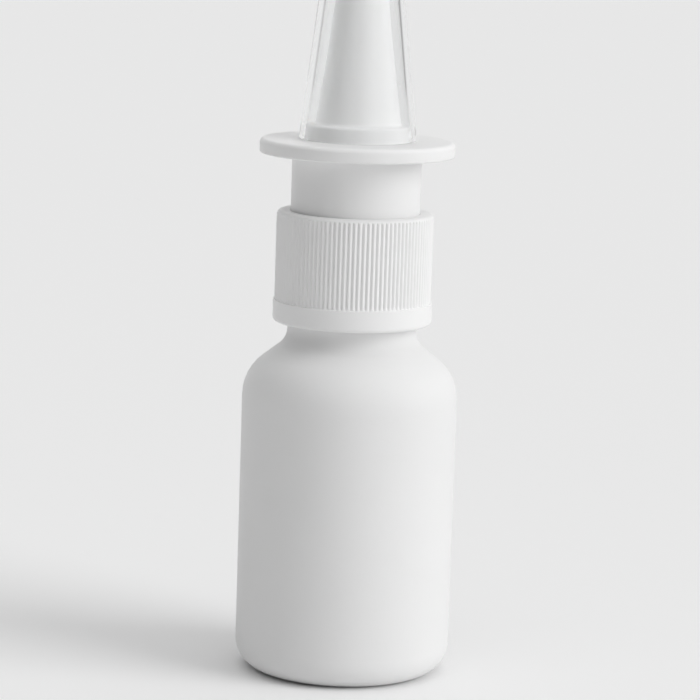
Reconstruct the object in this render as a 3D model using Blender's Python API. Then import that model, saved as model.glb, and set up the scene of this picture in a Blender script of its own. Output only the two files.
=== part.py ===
"""A metered nasal spray bottle: moulded bottle with a screw neck, ribbed screw closure, spray pump with
its dip tube, finger-flange actuator and clear overcap. Metres, +Z up, origin on the floor at the axis."""

import math

import bmesh
import bpy
from mathutils import Matrix, Vector

MM = 0.001

# Shared clearances and working values
SEAT_GAP = 0.3 * MM  # between two pieces that rest on each other
SLIDE_GAP = 0.1 * MM  # on the radius, between pieces that fit, slide or turn in each other
OVERRUN = 0.6 * MM  # how far a cutter or a joined form reaches past the wall it meets
MERGE = 0.001 * MM
SHARP_ANGLE = 30.0

# Bottle body
BODY_RADIUS = 15.0 * MM
BODY_HEIGHT = 38.5 * MM  # floor to the start of the shoulder
BODY_WALL = 1.0 * MM
BASE_ROUND = 4.0 * MM
FOOT_WIDTH = 2.4 * MM
PUSH_UP = 0.9 * MM  # height of the hollow under the base
SHOULDER_ROUND = 7.8 * MM
SHOULDER_ANGLE = 37.0  # of the cone below the neck, above the horizontal
NECK_FILLET = 2.7 * MM

# Bottle neck and the thread that it shares with the closure
NECK_RADIUS = 7.75 * MM
NECK_WALL = 1.75 * MM
NECK_LEDGE = 0.2 * MM  # how far the neck's root stands out past the thread
NECK_LIP = 0.4 * MM  # plain height above the thread
NECK_EDGE = 0.2 * MM
THREAD_LEAD = 3.175 * MM
THREAD_DEPTH = 1.0 * MM
THREAD_ROOT_WIDTH = 1.5 * MM
THREAD_CREST_WIDTH = 0.7 * MM
THREAD_CLEARANCE = 0.2 * MM  # on the radius
THREAD_FLANK_GAP = 0.3 * MM
NECK_THREAD_TURNS = 1.3
CLOSURE_THREAD_TURNS = 1.15
THREAD_LAG_TURNS = 0.35  # how far round the closure's thread starts after the neck's
THREAD_FADE_TURNS = 0.12  # over which a thread runs out at each end
THREAD_RUNOUT_SHARE = 0.25  # of a ridge's section, left where it has sunk into its wall

# Screw closure
CLOSURE_LIFT = 1.0 * MM  # from the neck's root up to the closure's rim
CLOSURE_LIP = 0.3 * MM  # plain height below the closure's thread
CLOSURE_WALL = 1.45 * MM
WEB_THICKNESS = 0.9 * MM
RIB_COUNT = 104
RIB_DEPTH = 0.32 * MM
RIB_CREST_SHARE = 0.45  # of a rib's pitch
BAND_HEIGHT = 3.0 * MM
BAND_STEP = 0.2 * MM  # how far the plain band stands out past the ribs
BAND_ROUND = 0.6 * MM
CROWN_STEP = 0.05 * MM
CROWN_ROUND = 0.28 * MM
CROWN_HEIGHT = 0.35 * MM  # plain height above the ribs

# Seals
GASKET_THICKNESS = 0.7 * MM
GASKET_INSET = 0.15 * MM
SEAL_THICKNESS = 0.7 * MM

# Pump housing
CYLINDER_RADIUS = 3.0 * MM  # the bore that the piston slides in
CYLINDER_WALL = 0.9 * MM
HOUSING_FLANGE = 0.8 * MM
HEAD_WALL = 1.6 * MM
HEAD_HEIGHT = 3.7 * MM
HEAD_BEAD = 0.15 * MM
BEAD_HEIGHT = 0.5 * MM
VENT_RADIUS = 0.4 * MM
VENT_DROP = 1.2 * MM  # from the flange down to the middle of the vent
TAIL_WALL = 0.9 * MM
SOCKET_LENGTH = 4.0 * MM
INLET_RADIUS = 0.7 * MM
INLET_LENGTH = 0.8 * MM

# Check ball and its cage
BALL_RADIUS = 1.25 * MM
BALL_LIFT = 0.8 * MM
BALL_ROOM = 0.3 * MM  # round the ball in its chamber
SEAT_ANGLE = 45.0
CAGE_THICKNESS = 0.7 * MM
CAGE_HOLE_RADIUS = 0.75 * MM
CAGE_PORT_RADIUS = 0.35 * MM
CAGE_PORTS = 3

# Dip tube
DIP_RADIUS = 1.3 * MM
DIP_BORE = 0.75 * MM
DIP_CLEARANCE = 0.8 * MM  # from the bottle's floor
DIP_BEVEL = 1.2 * MM  # height of the slanted cut at the tube's foot

# Stem, piston and springs
STROKE = 4.0 * MM
STEM_RADIUS = 1.9 * MM
STEM_BORE = 0.8 * MM
STEM_WAIST = 1.5 * MM
STEM_COLLAR = 0.8 * MM
STEM_FOOT = 0.7 * MM
STEM_SPIGOT = 1.2 * MM
STEM_GRIP = 4.5 * MM  # length held in the actuator's socket
STEM_PORT_RADIUS = 0.3 * MM
PISTON_HEIGHT = 2.5 * MM
PISTON_LIP = 0.7 * MM
PISTON_WAIST = 0.4 * MM  # how far the piston is drawn in between its lips
VALVE_SLIP = 0.5 * MM  # travel of the piston on the stem that opens the side ports
VALVE_WIRE = 0.2 * MM  # radius of the wire
VALVE_SPRING = 4.4 * MM
VALVE_COILS = 4
RETURN_WIRE = 0.25 * MM
RETURN_SPRING = 9.4 * MM
RETURN_COILS = 7
SPRING_ROOM = 0.15 * MM

# Turret, the cap that closes the pump above the closure's web
TURRET_WALL = 0.9 * MM
TURRET_FLANGE = 0.7 * MM
TURRET_OVERLAP = 1.5 * MM  # how far it laps the web
TURRET_ROOF = 0.9 * MM
TURRET_EDGE = 0.4 * MM

# Actuator
SKIRT_RADIUS = 8.9 * MM
SKIRT_WALL = 1.0 * MM
SKIRT_CLEARANCE = 0.2 * MM
SKIRT_ENGAGEMENT = 1.2 * MM  # how far the skirt reaches into the closure at rest
SKIRT_SHOW = 7.95 * MM  # from the closure up to the flange
FLANGE_RADIUS = 13.5 * MM
FLANGE_THICKNESS = 2.0 * MM
FLANGE_LOWER_ROUND = 0.35 * MM
FLANGE_UPPER_ROUND = 0.8 * MM
ROOF_THICKNESS = 1.1 * MM
SEAT_RING_RADIUS = 7.05 * MM
SEAT_RING_HEIGHT = 2.2 * MM
SEAT_RING_EDGE = 0.4 * MM
NOZZLE_ROOT_RADIUS = 5.95 * MM
NOZZLE_TIP_RADIUS = 3.05 * MM
NOZZLE_HEIGHT = 27.6 * MM  # from the flange's top to the tip
NOZZLE_WALL = 1.0 * MM
NOZZLE_WAIST = 0.16 * MM  # how far the cone is drawn in halfway up
NOSE_HEIGHT = 1.9 * MM
NOSE_LENGTH = 7.5 * MM  # solid part above the nozzle's hollow
DELIVERY_BORE = 1.35 * MM
DELIVERY_WALL = 0.9 * MM
SOCKET_WALL = 1.0 * MM
SOCKET_ROOF = 0.6 * MM
BLADE_COUNT = 4
BLADE_THICKNESS = 0.7 * MM
BLADE_RISE = 2.0 * MM  # from the flange's top up to the blades
BLADE_HEIGHT = 12.0 * MM

# Core rod and spray insert
GROOVE_COUNT = 3
GROOVE_WIDTH = 0.5 * MM
GROOVE_DEPTH = 0.25 * MM
INSERT_RADIUS = 1.7 * MM
INSERT_LENGTH = 2.8 * MM
INSERT_WALL = 0.5 * MM
INSERT_FACE = 0.6 * MM
ORIFICE_RADIUS = 0.2 * MM
ORIFICE_FLARE = 0.25 * MM

# Overcap
CAP_WALL = 1.0 * MM
CAP_CLEARANCE = 0.1 * MM
CAP_TOP_RADIUS = 5.0 * MM
CAP_TOP_ROUND = 2.6 * MM
CAP_HEADROOM = 1.6 * MM

# Facets
BIG_SIDES = 36
MIDDLE_SIDES = 32
SMALL_SIDES = 24
TINY_SIDES = 12
THREAD_STEPS = 28  # for each turn
COIL_STEPS = 10  # for each turn

# Radii that follow the piece inside
THREAD_RADIUS = NECK_RADIUS + THREAD_DEPTH
NECK_ROOT_RADIUS = THREAD_RADIUS + NECK_LEDGE
NECK_BORE = NECK_RADIUS - NECK_WALL
CLOSURE_BORE = THREAD_RADIUS + THREAD_CLEARANCE
SKIRT_POCKET = SKIRT_RADIUS + SKIRT_CLEARANCE
CLOSURE_RADIUS = max(CLOSURE_BORE, SKIRT_POCKET) + CLOSURE_WALL  # between the ribs
RIB_RADIUS = CLOSURE_RADIUS + RIB_DEPTH
CROWN_RADIUS = RIB_RADIUS + CROWN_STEP
BAND_RADIUS = RIB_RADIUS + BAND_STEP
HOUSING_RADIUS = CYLINDER_RADIUS + CYLINDER_WALL
HEAD_RADIUS = CYLINDER_RADIUS + HEAD_WALL
WEB_HOLE = HEAD_RADIUS + HEAD_BEAD + SLIDE_GAP
TURRET_BORE = HEAD_RADIUS + SLIDE_GAP
TURRET_RADIUS = TURRET_BORE + HEAD_BEAD + TURRET_WALL
TURRET_FLANGE_RADIUS = WEB_HOLE + TURRET_OVERLAP
GASKET_RADIUS = NECK_RADIUS - GASKET_INSET
CHAMBER_RADIUS = BALL_RADIUS + BALL_ROOM
DIP_SOCKET = DIP_RADIUS + SLIDE_GAP
TAIL_RADIUS = max(CHAMBER_RADIUS, DIP_SOCKET) + TAIL_WALL
SEAT_RADIUS = (BALL_RADIUS + SEAT_GAP) * math.sin(math.radians(SEAT_ANGLE))
STEM_HOLE = STEM_RADIUS + SLIDE_GAP
STEM_COLLAR_RADIUS = CYLINDER_RADIUS - SLIDE_GAP * 2
RETURN_RADIUS = CYLINDER_RADIUS - SPRING_ROOM - RETURN_WIRE
SPIGOT_RADIUS = RETURN_RADIUS - RETURN_WIRE - SPRING_ROOM
VALVE_RADIUS = (STEM_WAIST + CYLINDER_RADIUS) / 2
SOCKET_OUTER = STEM_HOLE + SOCKET_WALL
DELIVERY_RADIUS = DELIVERY_BORE + DELIVERY_WALL
CORE_RADIUS = DELIVERY_BORE - SLIDE_GAP
INSERT_BORE = INSERT_RADIUS + SLIDE_GAP
INSERT_HOLLOW = INSERT_RADIUS - INSERT_WALL
CORE_NECK_RADIUS = INSERT_HOLLOW - SLIDE_GAP
CAP_BORE = SEAT_RING_RADIUS + CAP_CLEARANCE
CAP_RADIUS = CAP_BORE + CAP_WALL

# The shoulder's rounds, which are drawn in where the neck leaves them too little room
STEEPNESS = math.radians(90 - SHOULDER_ANGLE)
SHOULDER_ROOM = (BODY_RADIUS - NECK_ROOT_RADIUS) / (1 - math.cos(STEEPNESS))
ROUND_FIT = min(1.0, SHOULDER_ROOM / (SHOULDER_ROUND + NECK_FILLET))
TOP_ROUND = SHOULDER_ROUND * ROUND_FIT
ROOT_ROUND = NECK_FILLET * ROUND_FIT
CONE_RUN = BODY_RADIUS - NECK_ROOT_RADIUS - (TOP_ROUND + ROOT_ROUND) * (1 - math.cos(STEEPNESS))
CONE_RISE = CONE_RUN / math.tan(STEEPNESS)

# Heights up the axis, each worked out from the piece below it
FLOOR_Z = PUSH_UP + BODY_WALL
NECK_ROOT_Z = BODY_HEIGHT + (TOP_ROUND + ROOT_ROUND) * math.sin(STEEPNESS) + CONE_RISE
CLOSURE_Z = NECK_ROOT_Z + CLOSURE_LIFT
FLANK = (THREAD_ROOT_WIDTH + THREAD_CREST_WIDTH) / 2 + THREAD_FLANK_GAP  # from one ridge down to the other
CLOSURE_THREAD_Z = CLOSURE_Z + CLOSURE_LIP + THREAD_ROOT_WIDTH / 2
NECK_THREAD_Z = CLOSURE_THREAD_Z + FLANK - THREAD_LEAD * THREAD_LAG_TURNS
NECK_TOP_Z = NECK_THREAD_Z + THREAD_LEAD * NECK_THREAD_TURNS + THREAD_ROOT_WIDTH / 2 + NECK_LIP
GASKET_Z = NECK_TOP_Z + SEAT_GAP
HOUSING_Z = GASKET_Z + GASKET_THICKNESS + SEAT_GAP  # underside of the housing's flange
HOUSING_FLANGE_TOP_Z = HOUSING_Z + HOUSING_FLANGE
WEB_Z = HOUSING_FLANGE_TOP_Z + SEAT_GAP
WEB_TOP_Z = WEB_Z + WEB_THICKNESS
TURRET_Z = WEB_TOP_Z + SEAT_GAP
HEAD_TOP_Z = HOUSING_FLANGE_TOP_Z + HEAD_HEIGHT
BEAD_Z = (TURRET_Z + TURRET_FLANGE + HEAD_TOP_Z) / 2
SEAL_Z = HEAD_TOP_Z + SEAT_GAP
TURRET_ROOF_Z = SEAL_Z + SEAL_THICKNESS + SEAT_GAP
TURRET_TOP_Z = TURRET_ROOF_Z + TURRET_ROOF
SKIRT_Z = WEB_TOP_Z + STROKE + SEAT_GAP
CLOSURE_TOP_Z = SKIRT_Z + SKIRT_ENGAGEMENT
FLANGE_Z = CLOSURE_TOP_Z + SKIRT_SHOW
FLANGE_TOP_Z = FLANGE_Z + FLANGE_THICKNESS
RING_TOP_Z = FLANGE_TOP_Z + SEAT_RING_HEIGHT
TIP_Z = FLANGE_TOP_Z + NOZZLE_HEIGHT
NOSE_Z = TIP_Z - NOSE_HEIGHT
STEM_SOCKET_Z = TURRET_TOP_Z + STROKE + SEAT_GAP
STEM_TOP_Z = STEM_SOCKET_Z + STEM_GRIP
COLLAR_TOP_Z = SEAL_Z - SEAT_GAP
COLLAR_Z = COLLAR_TOP_Z - STEM_COLLAR
VALVE_SPRING_Z = COLLAR_Z - SEAT_GAP - VALVE_SPRING
PISTON_TOP_Z = VALVE_SPRING_Z - SEAT_GAP
PISTON_Z = PISTON_TOP_Z - PISTON_HEIGHT
STEM_FOOT_TOP_Z = PISTON_Z - SEAT_GAP
STEM_FOOT_Z = STEM_FOOT_TOP_Z - STEM_FOOT
RETURN_SPRING_Z = STEM_FOOT_Z - SEAT_GAP - RETURN_SPRING
CAGE_TOP_Z = RETURN_SPRING_Z - SEAT_GAP
CAGE_Z = CAGE_TOP_Z - CAGE_THICKNESS
LEDGE_Z = CAGE_Z - SEAT_GAP  # the step in the housing that carries the cage
BALL_Z = CAGE_Z - SEAT_GAP - BALL_LIFT - BALL_RADIUS  # the ball's middle, on its seat
SEAT_Z = BALL_Z - (BALL_RADIUS + SEAT_GAP) * math.cos(math.radians(SEAT_ANGLE))
SEAT_TOP_Z = SEAT_Z + (CHAMBER_RADIUS - SEAT_RADIUS) * math.tan(math.radians(SEAT_ANGLE))
SEAT_FOOT_Z = SEAT_Z - (SEAT_RADIUS - INLET_RADIUS) * math.tan(math.radians(SEAT_ANGLE))
DIP_TOP_Z = SEAT_FOOT_Z - INLET_LENGTH - SEAT_GAP
TAIL_Z = DIP_TOP_Z - SOCKET_LENGTH
CORE_FOOT_Z = STEM_TOP_Z + SEAT_GAP + SOCKET_ROOF + SEAT_GAP
INSERT_Z = TIP_Z - INSERT_LENGTH
INSERT_HOLLOW_Z = TIP_Z - INSERT_FACE
CORE_TOP_Z = INSERT_HOLLOW_Z - SEAT_GAP
CORE_SHOULDER_Z = INSERT_Z - SEAT_GAP
CAP_Z = FLANGE_TOP_Z + SEAT_GAP
CAP_ROOF_Z = TIP_Z + CAP_HEADROOM
CAP_TOP_Z = CAP_ROOF_Z + CAP_WALL


def material(name, colour, roughness, metallic=0.0, transmission=0.0):
    made = bpy.data.materials.new(name)
    made.use_nodes = True
    shader = made.node_tree.nodes["Principled BSDF"]
    shader.inputs["Base Color"].default_value = (*colour, 1.0)
    shader.inputs["Roughness"].default_value = roughness
    shader.inputs["Metallic"].default_value = metallic
    shader.inputs["Transmission Weight"].default_value = transmission
    return made


def moving_unit(name, height):
    """An empty on the axis that carries the pieces which move together."""
    unit = bpy.data.objects.new(name, None)
    unit.location.z = height
    bpy.context.scene.collection.objects.link(unit)
    return unit


def add(name, mesh, finish, height=0.0, unit=None):
    """One named object on the axis, its origin at the given height."""
    mesh.transform(Matrix.Translation((0, 0, -height)))
    mesh.materials.append(finish)
    mesh.shade_smooth()
    mesh.set_sharp_from_angle(angle=math.radians(SHARP_ANGLE))
    obj = bpy.data.objects.new(name, mesh)
    obj.location.z = height
    bpy.context.scene.collection.objects.link(obj)
    if unit:
        obj.parent = unit
        obj.location.z = height - unit.location.z
    return obj


def mesh_from(bm, name):
    bmesh.ops.remove_doubles(bm, verts=bm.verts, dist=MERGE)
    bmesh.ops.recalc_face_normals(bm, faces=bm.faces)
    mesh = bpy.data.meshes.new(name)
    bm.to_mesh(mesh)
    bm.free()
    return mesh


def combine(obj, operation, name, mesh):
    """Join or cut with a helper body, which stays out of the model."""
    helper = bpy.data.objects.new(name, mesh)
    helper.hide_render = True
    helper.display_type = "WIRE"
    bpy.context.scene.collection.objects.link(helper)
    boolean = obj.modifiers.new(name, "BOOLEAN")
    boolean.operation = operation
    boolean.solver = "EXACT"
    boolean.object = helper


def arc(centre, radius, start, end, steps):
    """Points on a round from start to end, in degrees from outwards towards up."""
    angles = [math.radians(start + (end - start) * i / steps) for i in range(steps + 1)]
    return [(centre[0] + radius * math.cos(a), centre[1] + radius * math.sin(a)) for a in angles]


def spin(bm, outline, sides, closed):
    """Turn an outline of (radius, height) points about the Z axis."""
    points = [bm.verts.new((r, 0, z)) for r, z in outline]
    pairs = list(zip(points, points[1:]))
    if closed:
        pairs.append((points[-1], points[0]))
    edges = [bm.edges.new(pair) for pair in pairs]
    bmesh.ops.spin(
        bm, geom=points + edges, cent=(0, 0, 0), axis=(0, 0, 1), angle=math.tau, steps=sides, use_merge=True
    )


def turned(name, outline, sides):
    """A mesh turned about the Z axis. An outline that starts on the axis isn't closed along it."""
    bm = bmesh.new()
    spin(bm, outline, sides, closed=outline[0][0] > 0)
    return mesh_from(bm, name)


def band_between(bm, low, high):
    for k in range(len(low)):
        bm.faces.new((low[k - 1], low[k], high[k], high[k - 1]))


def ring_fill(bm, inner, outer):
    """Close the flat ring between two loops of vertices."""
    edges = [bm.edges.get((loop[k - 1], loop[k])) for loop in (inner, outer) for k in range(len(loop))]
    bmesh.ops.triangle_fill(bm, edges=edges, use_beauty=True)


def thread(name, root, crest, start_z, first_turn, turns):
    """A right-hand thread ridge that sinks into its wall at both ends."""
    bm = bmesh.new()
    steps = round(turns * THREAD_STEPS)
    rings = []
    for i in range(steps + 1):
        turn = turns * i / steps
        ease = min(1.0, turn / THREAD_FADE_TURNS, (turns - turn) / THREAD_FADE_TURNS)
        top = root + (crest - root) * (THREAD_RUNOUT_SHARE + (1 - THREAD_RUNOUT_SHARE) * ease)
        angle = math.tau * (first_turn + turn)
        middle = start_z + THREAD_LEAD * turn
        section = (
            (root, middle - THREAD_ROOT_WIDTH / 2),
            (top, middle - THREAD_CREST_WIDTH / 2),
            (top, middle + THREAD_CREST_WIDTH / 2),
            (root, middle + THREAD_ROOT_WIDTH / 2),
        )
        rings.append([bm.verts.new((r * math.cos(angle), r * math.sin(angle), z)) for r, z in section])
    for low, high in zip(rings, rings[1:]):
        band_between(bm, low, high)
    bm.faces.new(rings[0])
    bm.faces.new(rings[-1])
    return mesh_from(bm, name)


def rods(name, radius, length, matrices):
    """Thin cylinders laid by the given matrices."""
    bm = bmesh.new()
    for matrix in matrices:
        bmesh.ops.create_cone(
            bm, cap_ends=True, segments=TINY_SIDES, radius1=radius, radius2=radius, depth=length, matrix=matrix
        )
    return mesh_from(bm, name)


def blades(name, outline, thickness, count):
    """Flat plates that stand out from the axis, evenly round it, from one side outline."""
    bm = bmesh.new()
    for i in range(count):
        turn = Matrix.Rotation(math.tau * i / count, 4, "Z")
        near = [bm.verts.new(turn @ Vector((r, -thickness / 2, z))) for r, z in outline]
        far = [bm.verts.new(turn @ Vector((r, thickness / 2, z))) for r, z in outline]
        band_between(bm, near, far)
        bm.faces.new(near)
        bm.faces.new(far)
    return mesh_from(bm, name)


def spring(name, wire, radius, low_z, length, coils, finish, unit):
    """A round-wire spring whose wire just reaches both end heights."""
    rise = length - 2 * wire
    steps = coils * COIL_STEPS
    curve = bpy.data.curves.new(name, "CURVE")
    curve.dimensions = "3D"
    curve.bevel_depth = wire
    curve.bevel_resolution = 1
    curve.use_fill_caps = True
    line = curve.splines.new("POLY")
    line.points.add(steps)
    for i, point in enumerate(line.points):
        angle = math.tau * i / COIL_STEPS
        point.co = (radius * math.cos(angle), radius * math.sin(angle), wire + rise * i / steps, 1)
    curve.materials.append(finish)
    obj = bpy.data.objects.new(name, curve)
    bpy.context.scene.collection.objects.link(obj)
    obj.parent = unit
    obj.location.z = low_z - unit.location.z
    print(f"{name}: least gap between coils {(rise / coils - 2 * wire) / MM:.2f} mm")
    return obj


def bead(radius, stand):
    """A snap bead's outline, or its groove's, from bottom to top on a wall of the given radius."""
    half = BEAD_HEIGHT / 2
    return [(radius, BEAD_Z - half), (radius + stand, BEAD_Z), (radius, BEAD_Z + half)]


def make_bottle(finish):
    steep = math.degrees(STEEPNESS)
    shoulder = (BODY_RADIUS - TOP_ROUND, BODY_HEIGHT)
    root = (NECK_ROOT_RADIUS + ROOT_ROUND, NECK_ROOT_Z)
    outside = [(0, PUSH_UP), (BODY_RADIUS - BASE_ROUND - FOOT_WIDTH, 0)]
    outside += arc((BODY_RADIUS - BASE_ROUND, BASE_ROUND), BASE_ROUND, -90, 0, 5)
    outside += arc(shoulder, TOP_ROUND, 0, steep, 6)
    outside += arc(root, ROOT_ROUND, steep + 180, 180, 3)
    outside += [
        (NECK_ROOT_RADIUS, CLOSURE_Z - CLOSURE_LIFT / 2),
        (NECK_RADIUS, CLOSURE_Z),
        (NECK_RADIUS, NECK_TOP_Z - NECK_EDGE),
        (NECK_RADIUS - NECK_EDGE, NECK_TOP_Z),
    ]
    throat_round = ROOT_ROUND + BODY_WALL
    inner_round = BASE_ROUND - BODY_WALL
    under_shoulder = arc(shoulder, TOP_ROUND - BODY_WALL, steep, 0, 5)
    cone_radius = NECK_BORE + throat_round * (1 - math.cos(STEEPNESS))
    cone_z = under_shoulder[0][1] + (under_shoulder[0][0] - cone_radius) / math.tan(STEEPNESS)
    throat = (NECK_BORE + throat_round, cone_z + throat_round * math.sin(STEEPNESS))
    inside = [(NECK_BORE + NECK_EDGE, NECK_TOP_Z), (NECK_BORE, NECK_TOP_Z - NECK_EDGE)]
    inside += arc(throat, throat_round, 180, steep + 180, 3)
    inside += under_shoulder
    inside += arc((BODY_RADIUS - BASE_ROUND, BASE_ROUND), inner_round, 0, -90, 4)
    inside += [(BODY_RADIUS - BASE_ROUND - FOOT_WIDTH, BODY_WALL), (0, FLOOR_Z)]
    bottle = add("bottle", turned("bottle", outside + inside, BIG_SIDES), finish)
    ridge = thread(
        "neck_thread", NECK_RADIUS - OVERRUN, THREAD_RADIUS, NECK_THREAD_Z, 0, NECK_THREAD_TURNS
    )
    combine(bottle, "UNION", "neck_thread", ridge)
    return bottle


def make_closure(finish, unit):
    """Ribbed cap: a threaded room below, a web, and above it the pocket that the skirt slides in."""
    rib_foot_z = CLOSURE_Z + BAND_HEIGHT
    rib_top_z = CLOSURE_TOP_Z - CROWN_HEIGHT
    outline = [(CROWN_RADIUS, rib_top_z)]
    outline += arc((CROWN_RADIUS - CROWN_ROUND, CLOSURE_TOP_Z - CROWN_ROUND), CROWN_ROUND, 0, 90, 3)
    outline += [
        (SKIRT_POCKET, CLOSURE_TOP_Z),
        (SKIRT_POCKET, WEB_TOP_Z),
        (WEB_HOLE, WEB_TOP_Z),
        (WEB_HOLE, WEB_Z),
        (CLOSURE_BORE, WEB_Z),
        (CLOSURE_BORE, CLOSURE_Z),
    ]
    outline += arc((BAND_RADIUS - BAND_ROUND, CLOSURE_Z + BAND_ROUND), BAND_ROUND, -90, 0, 3)
    outline += [(BAND_RADIUS, rib_foot_z - BAND_STEP), (CROWN_RADIUS, rib_foot_z)]
    bm = bmesh.new()
    spin(bm, outline, BIG_SIDES, closed=False)
    bmesh.ops.remove_doubles(bm, verts=bm.verts, dist=MERGE)

    pitch = math.tau / RIB_COUNT
    for z in (rib_foot_z, rib_top_z):
        rim = [v for v in bm.verts if v.is_boundary and abs(v.co.z - z) < MERGE]
        rim.sort(key=lambda v: math.atan2(v.co.y, v.co.x))
        ribs = []
        for i in range(RIB_COUNT):
            for offset, radius in (
                (-RIB_CREST_SHARE / 2, RIB_RADIUS),
                (RIB_CREST_SHARE / 2, RIB_RADIUS),
                (0.5, CLOSURE_RADIUS),
            ):
                angle = pitch * (i + offset)
                ribs.append(bm.verts.new((radius * math.cos(angle), radius * math.sin(angle), z)))
        for k in range(len(ribs)):
            bm.edges.new((ribs[k - 1], ribs[k]))
        ring_fill(bm, rim, ribs)
        if z == rib_foot_z:
            rib_feet = ribs
    band_between(bm, rib_feet, ribs)
    closure = add("screw_closure", mesh_from(bm, "screw_closure"), finish, CLOSURE_Z, unit)
    ridge = thread(
        "closure_thread",
        CLOSURE_BORE + OVERRUN,
        NECK_RADIUS + THREAD_CLEARANCE,
        CLOSURE_THREAD_Z,
        THREAD_LAG_TURNS,
        CLOSURE_THREAD_TURNS,
    )
    combine(closure, "UNION", "closure_thread", ridge)
    return closure


def make_disc(name, inner, outer, low, thickness, sides, finish, unit):
    high = low + thickness
    outline = [(inner, low), (outer, low), (outer, high), (inner, high)]
    return add(name, turned(name, outline, sides), finish, low, unit)


def make_housing(finish, unit):
    """Stepped pump cylinder: snap head, flange, piston bore, ball chamber and dip tube socket."""
    neck_z = LEDGE_Z - CYLINDER_WALL
    outline = [
        (DIP_SOCKET, TAIL_Z),
        (TAIL_RADIUS, TAIL_Z),
        (TAIL_RADIUS, neck_z),
        (HOUSING_RADIUS, neck_z + abs(HOUSING_RADIUS - TAIL_RADIUS)),
        (HOUSING_RADIUS, HOUSING_Z),
        (GASKET_RADIUS, HOUSING_Z),
        (GASKET_RADIUS, HOUSING_FLANGE_TOP_Z),
        (HEAD_RADIUS, HOUSING_FLANGE_TOP_Z),
    ]
    outline += bead(HEAD_RADIUS, HEAD_BEAD)
    outline += [
        (HEAD_RADIUS, HEAD_TOP_Z),
        (CYLINDER_RADIUS, HEAD_TOP_Z),
        (CYLINDER_RADIUS, LEDGE_Z),
        (CHAMBER_RADIUS, LEDGE_Z),
        (CHAMBER_RADIUS, SEAT_TOP_Z),
        (INLET_RADIUS, SEAT_FOOT_Z),
        (INLET_RADIUS, DIP_TOP_Z + SEAT_GAP),
        (DIP_SOCKET, DIP_TOP_Z + SEAT_GAP),
    ]
    housing = add("pump_housing", turned("pump_housing", outline, SMALL_SIDES), finish, HOUSING_Z, unit)
    across = Matrix.Rotation(math.radians(90), 4, "Y")
    place = Matrix.Translation((HOUSING_RADIUS, 0, HOUSING_Z - VENT_DROP)) @ across
    vent = rods("vent", VENT_RADIUS, (CYLINDER_WALL + OVERRUN) * 2, [place])
    combine(housing, "DIFFERENCE", "vent", vent)
    return housing


def make_turret(finish, unit):
    outline = [
        (TURRET_BORE, TURRET_Z),
        (TURRET_FLANGE_RADIUS, TURRET_Z),
        (TURRET_FLANGE_RADIUS, TURRET_Z + TURRET_FLANGE),
        (TURRET_RADIUS, TURRET_Z + TURRET_FLANGE),
        (TURRET_RADIUS, TURRET_TOP_Z - TURRET_EDGE),
        (TURRET_RADIUS - TURRET_EDGE, TURRET_TOP_Z),
        (STEM_HOLE, TURRET_TOP_Z),
        (STEM_HOLE, TURRET_ROOF_Z),
        (TURRET_BORE, TURRET_ROOF_Z),
    ]
    outline += bead(TURRET_BORE, HEAD_BEAD)[::-1]
    return add("turret", turned("turret", outline, MIDDLE_SIDES), finish, TURRET_Z, unit)


def make_cage(finish, unit):
    """Disc under the return spring that stops the ball and lets the liquid by."""
    outer = CYLINDER_RADIUS - SLIDE_GAP
    cage = make_disc("ball_cage", CAGE_HOLE_RADIUS, outer, CAGE_Z, CAGE_THICKNESS, SMALL_SIDES, finish, unit)
    reach = CHAMBER_RADIUS - CAGE_PORT_RADIUS / 2
    step = math.tau / CAGE_PORTS
    middle = Matrix.Translation((reach, 0, CAGE_Z + CAGE_THICKNESS / 2))
    places = [Matrix.Rotation(step * i, 4, "Z") @ middle for i in range(CAGE_PORTS)]
    ports = rods("cage_ports", CAGE_PORT_RADIUS, CAGE_THICKNESS + OVERRUN * 2, places)
    combine(cage, "DIFFERENCE", "cage_ports", ports)
    return cage


def make_ball(finish, unit):
    bm = bmesh.new()
    bmesh.ops.create_uvsphere(bm, u_segments=TINY_SIDES, v_segments=TINY_SIDES // 2, radius=BALL_RADIUS)
    bmesh.ops.translate(bm, verts=bm.verts, vec=(0, 0, BALL_Z))
    return add("check_ball", mesh_from(bm, "check_ball"), finish, BALL_Z, unit)


def make_dip_tube(finish, unit):
    middle = FLOOR_Z + DIP_CLEARANCE + DIP_BEVEL / 2
    outline = [(DIP_BORE, middle), (DIP_RADIUS, middle), (DIP_RADIUS, DIP_TOP_Z), (DIP_BORE, DIP_TOP_Z)]
    mesh = turned("dip_tube", outline, TINY_SIDES)
    for vertex in mesh.vertices:
        if vertex.co.z < middle + MERGE:
            vertex.co.z += DIP_BEVEL / 2 * vertex.co.x / DIP_RADIUS
    return add("dip_tube", mesh, finish, TAIL_Z, unit)


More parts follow.
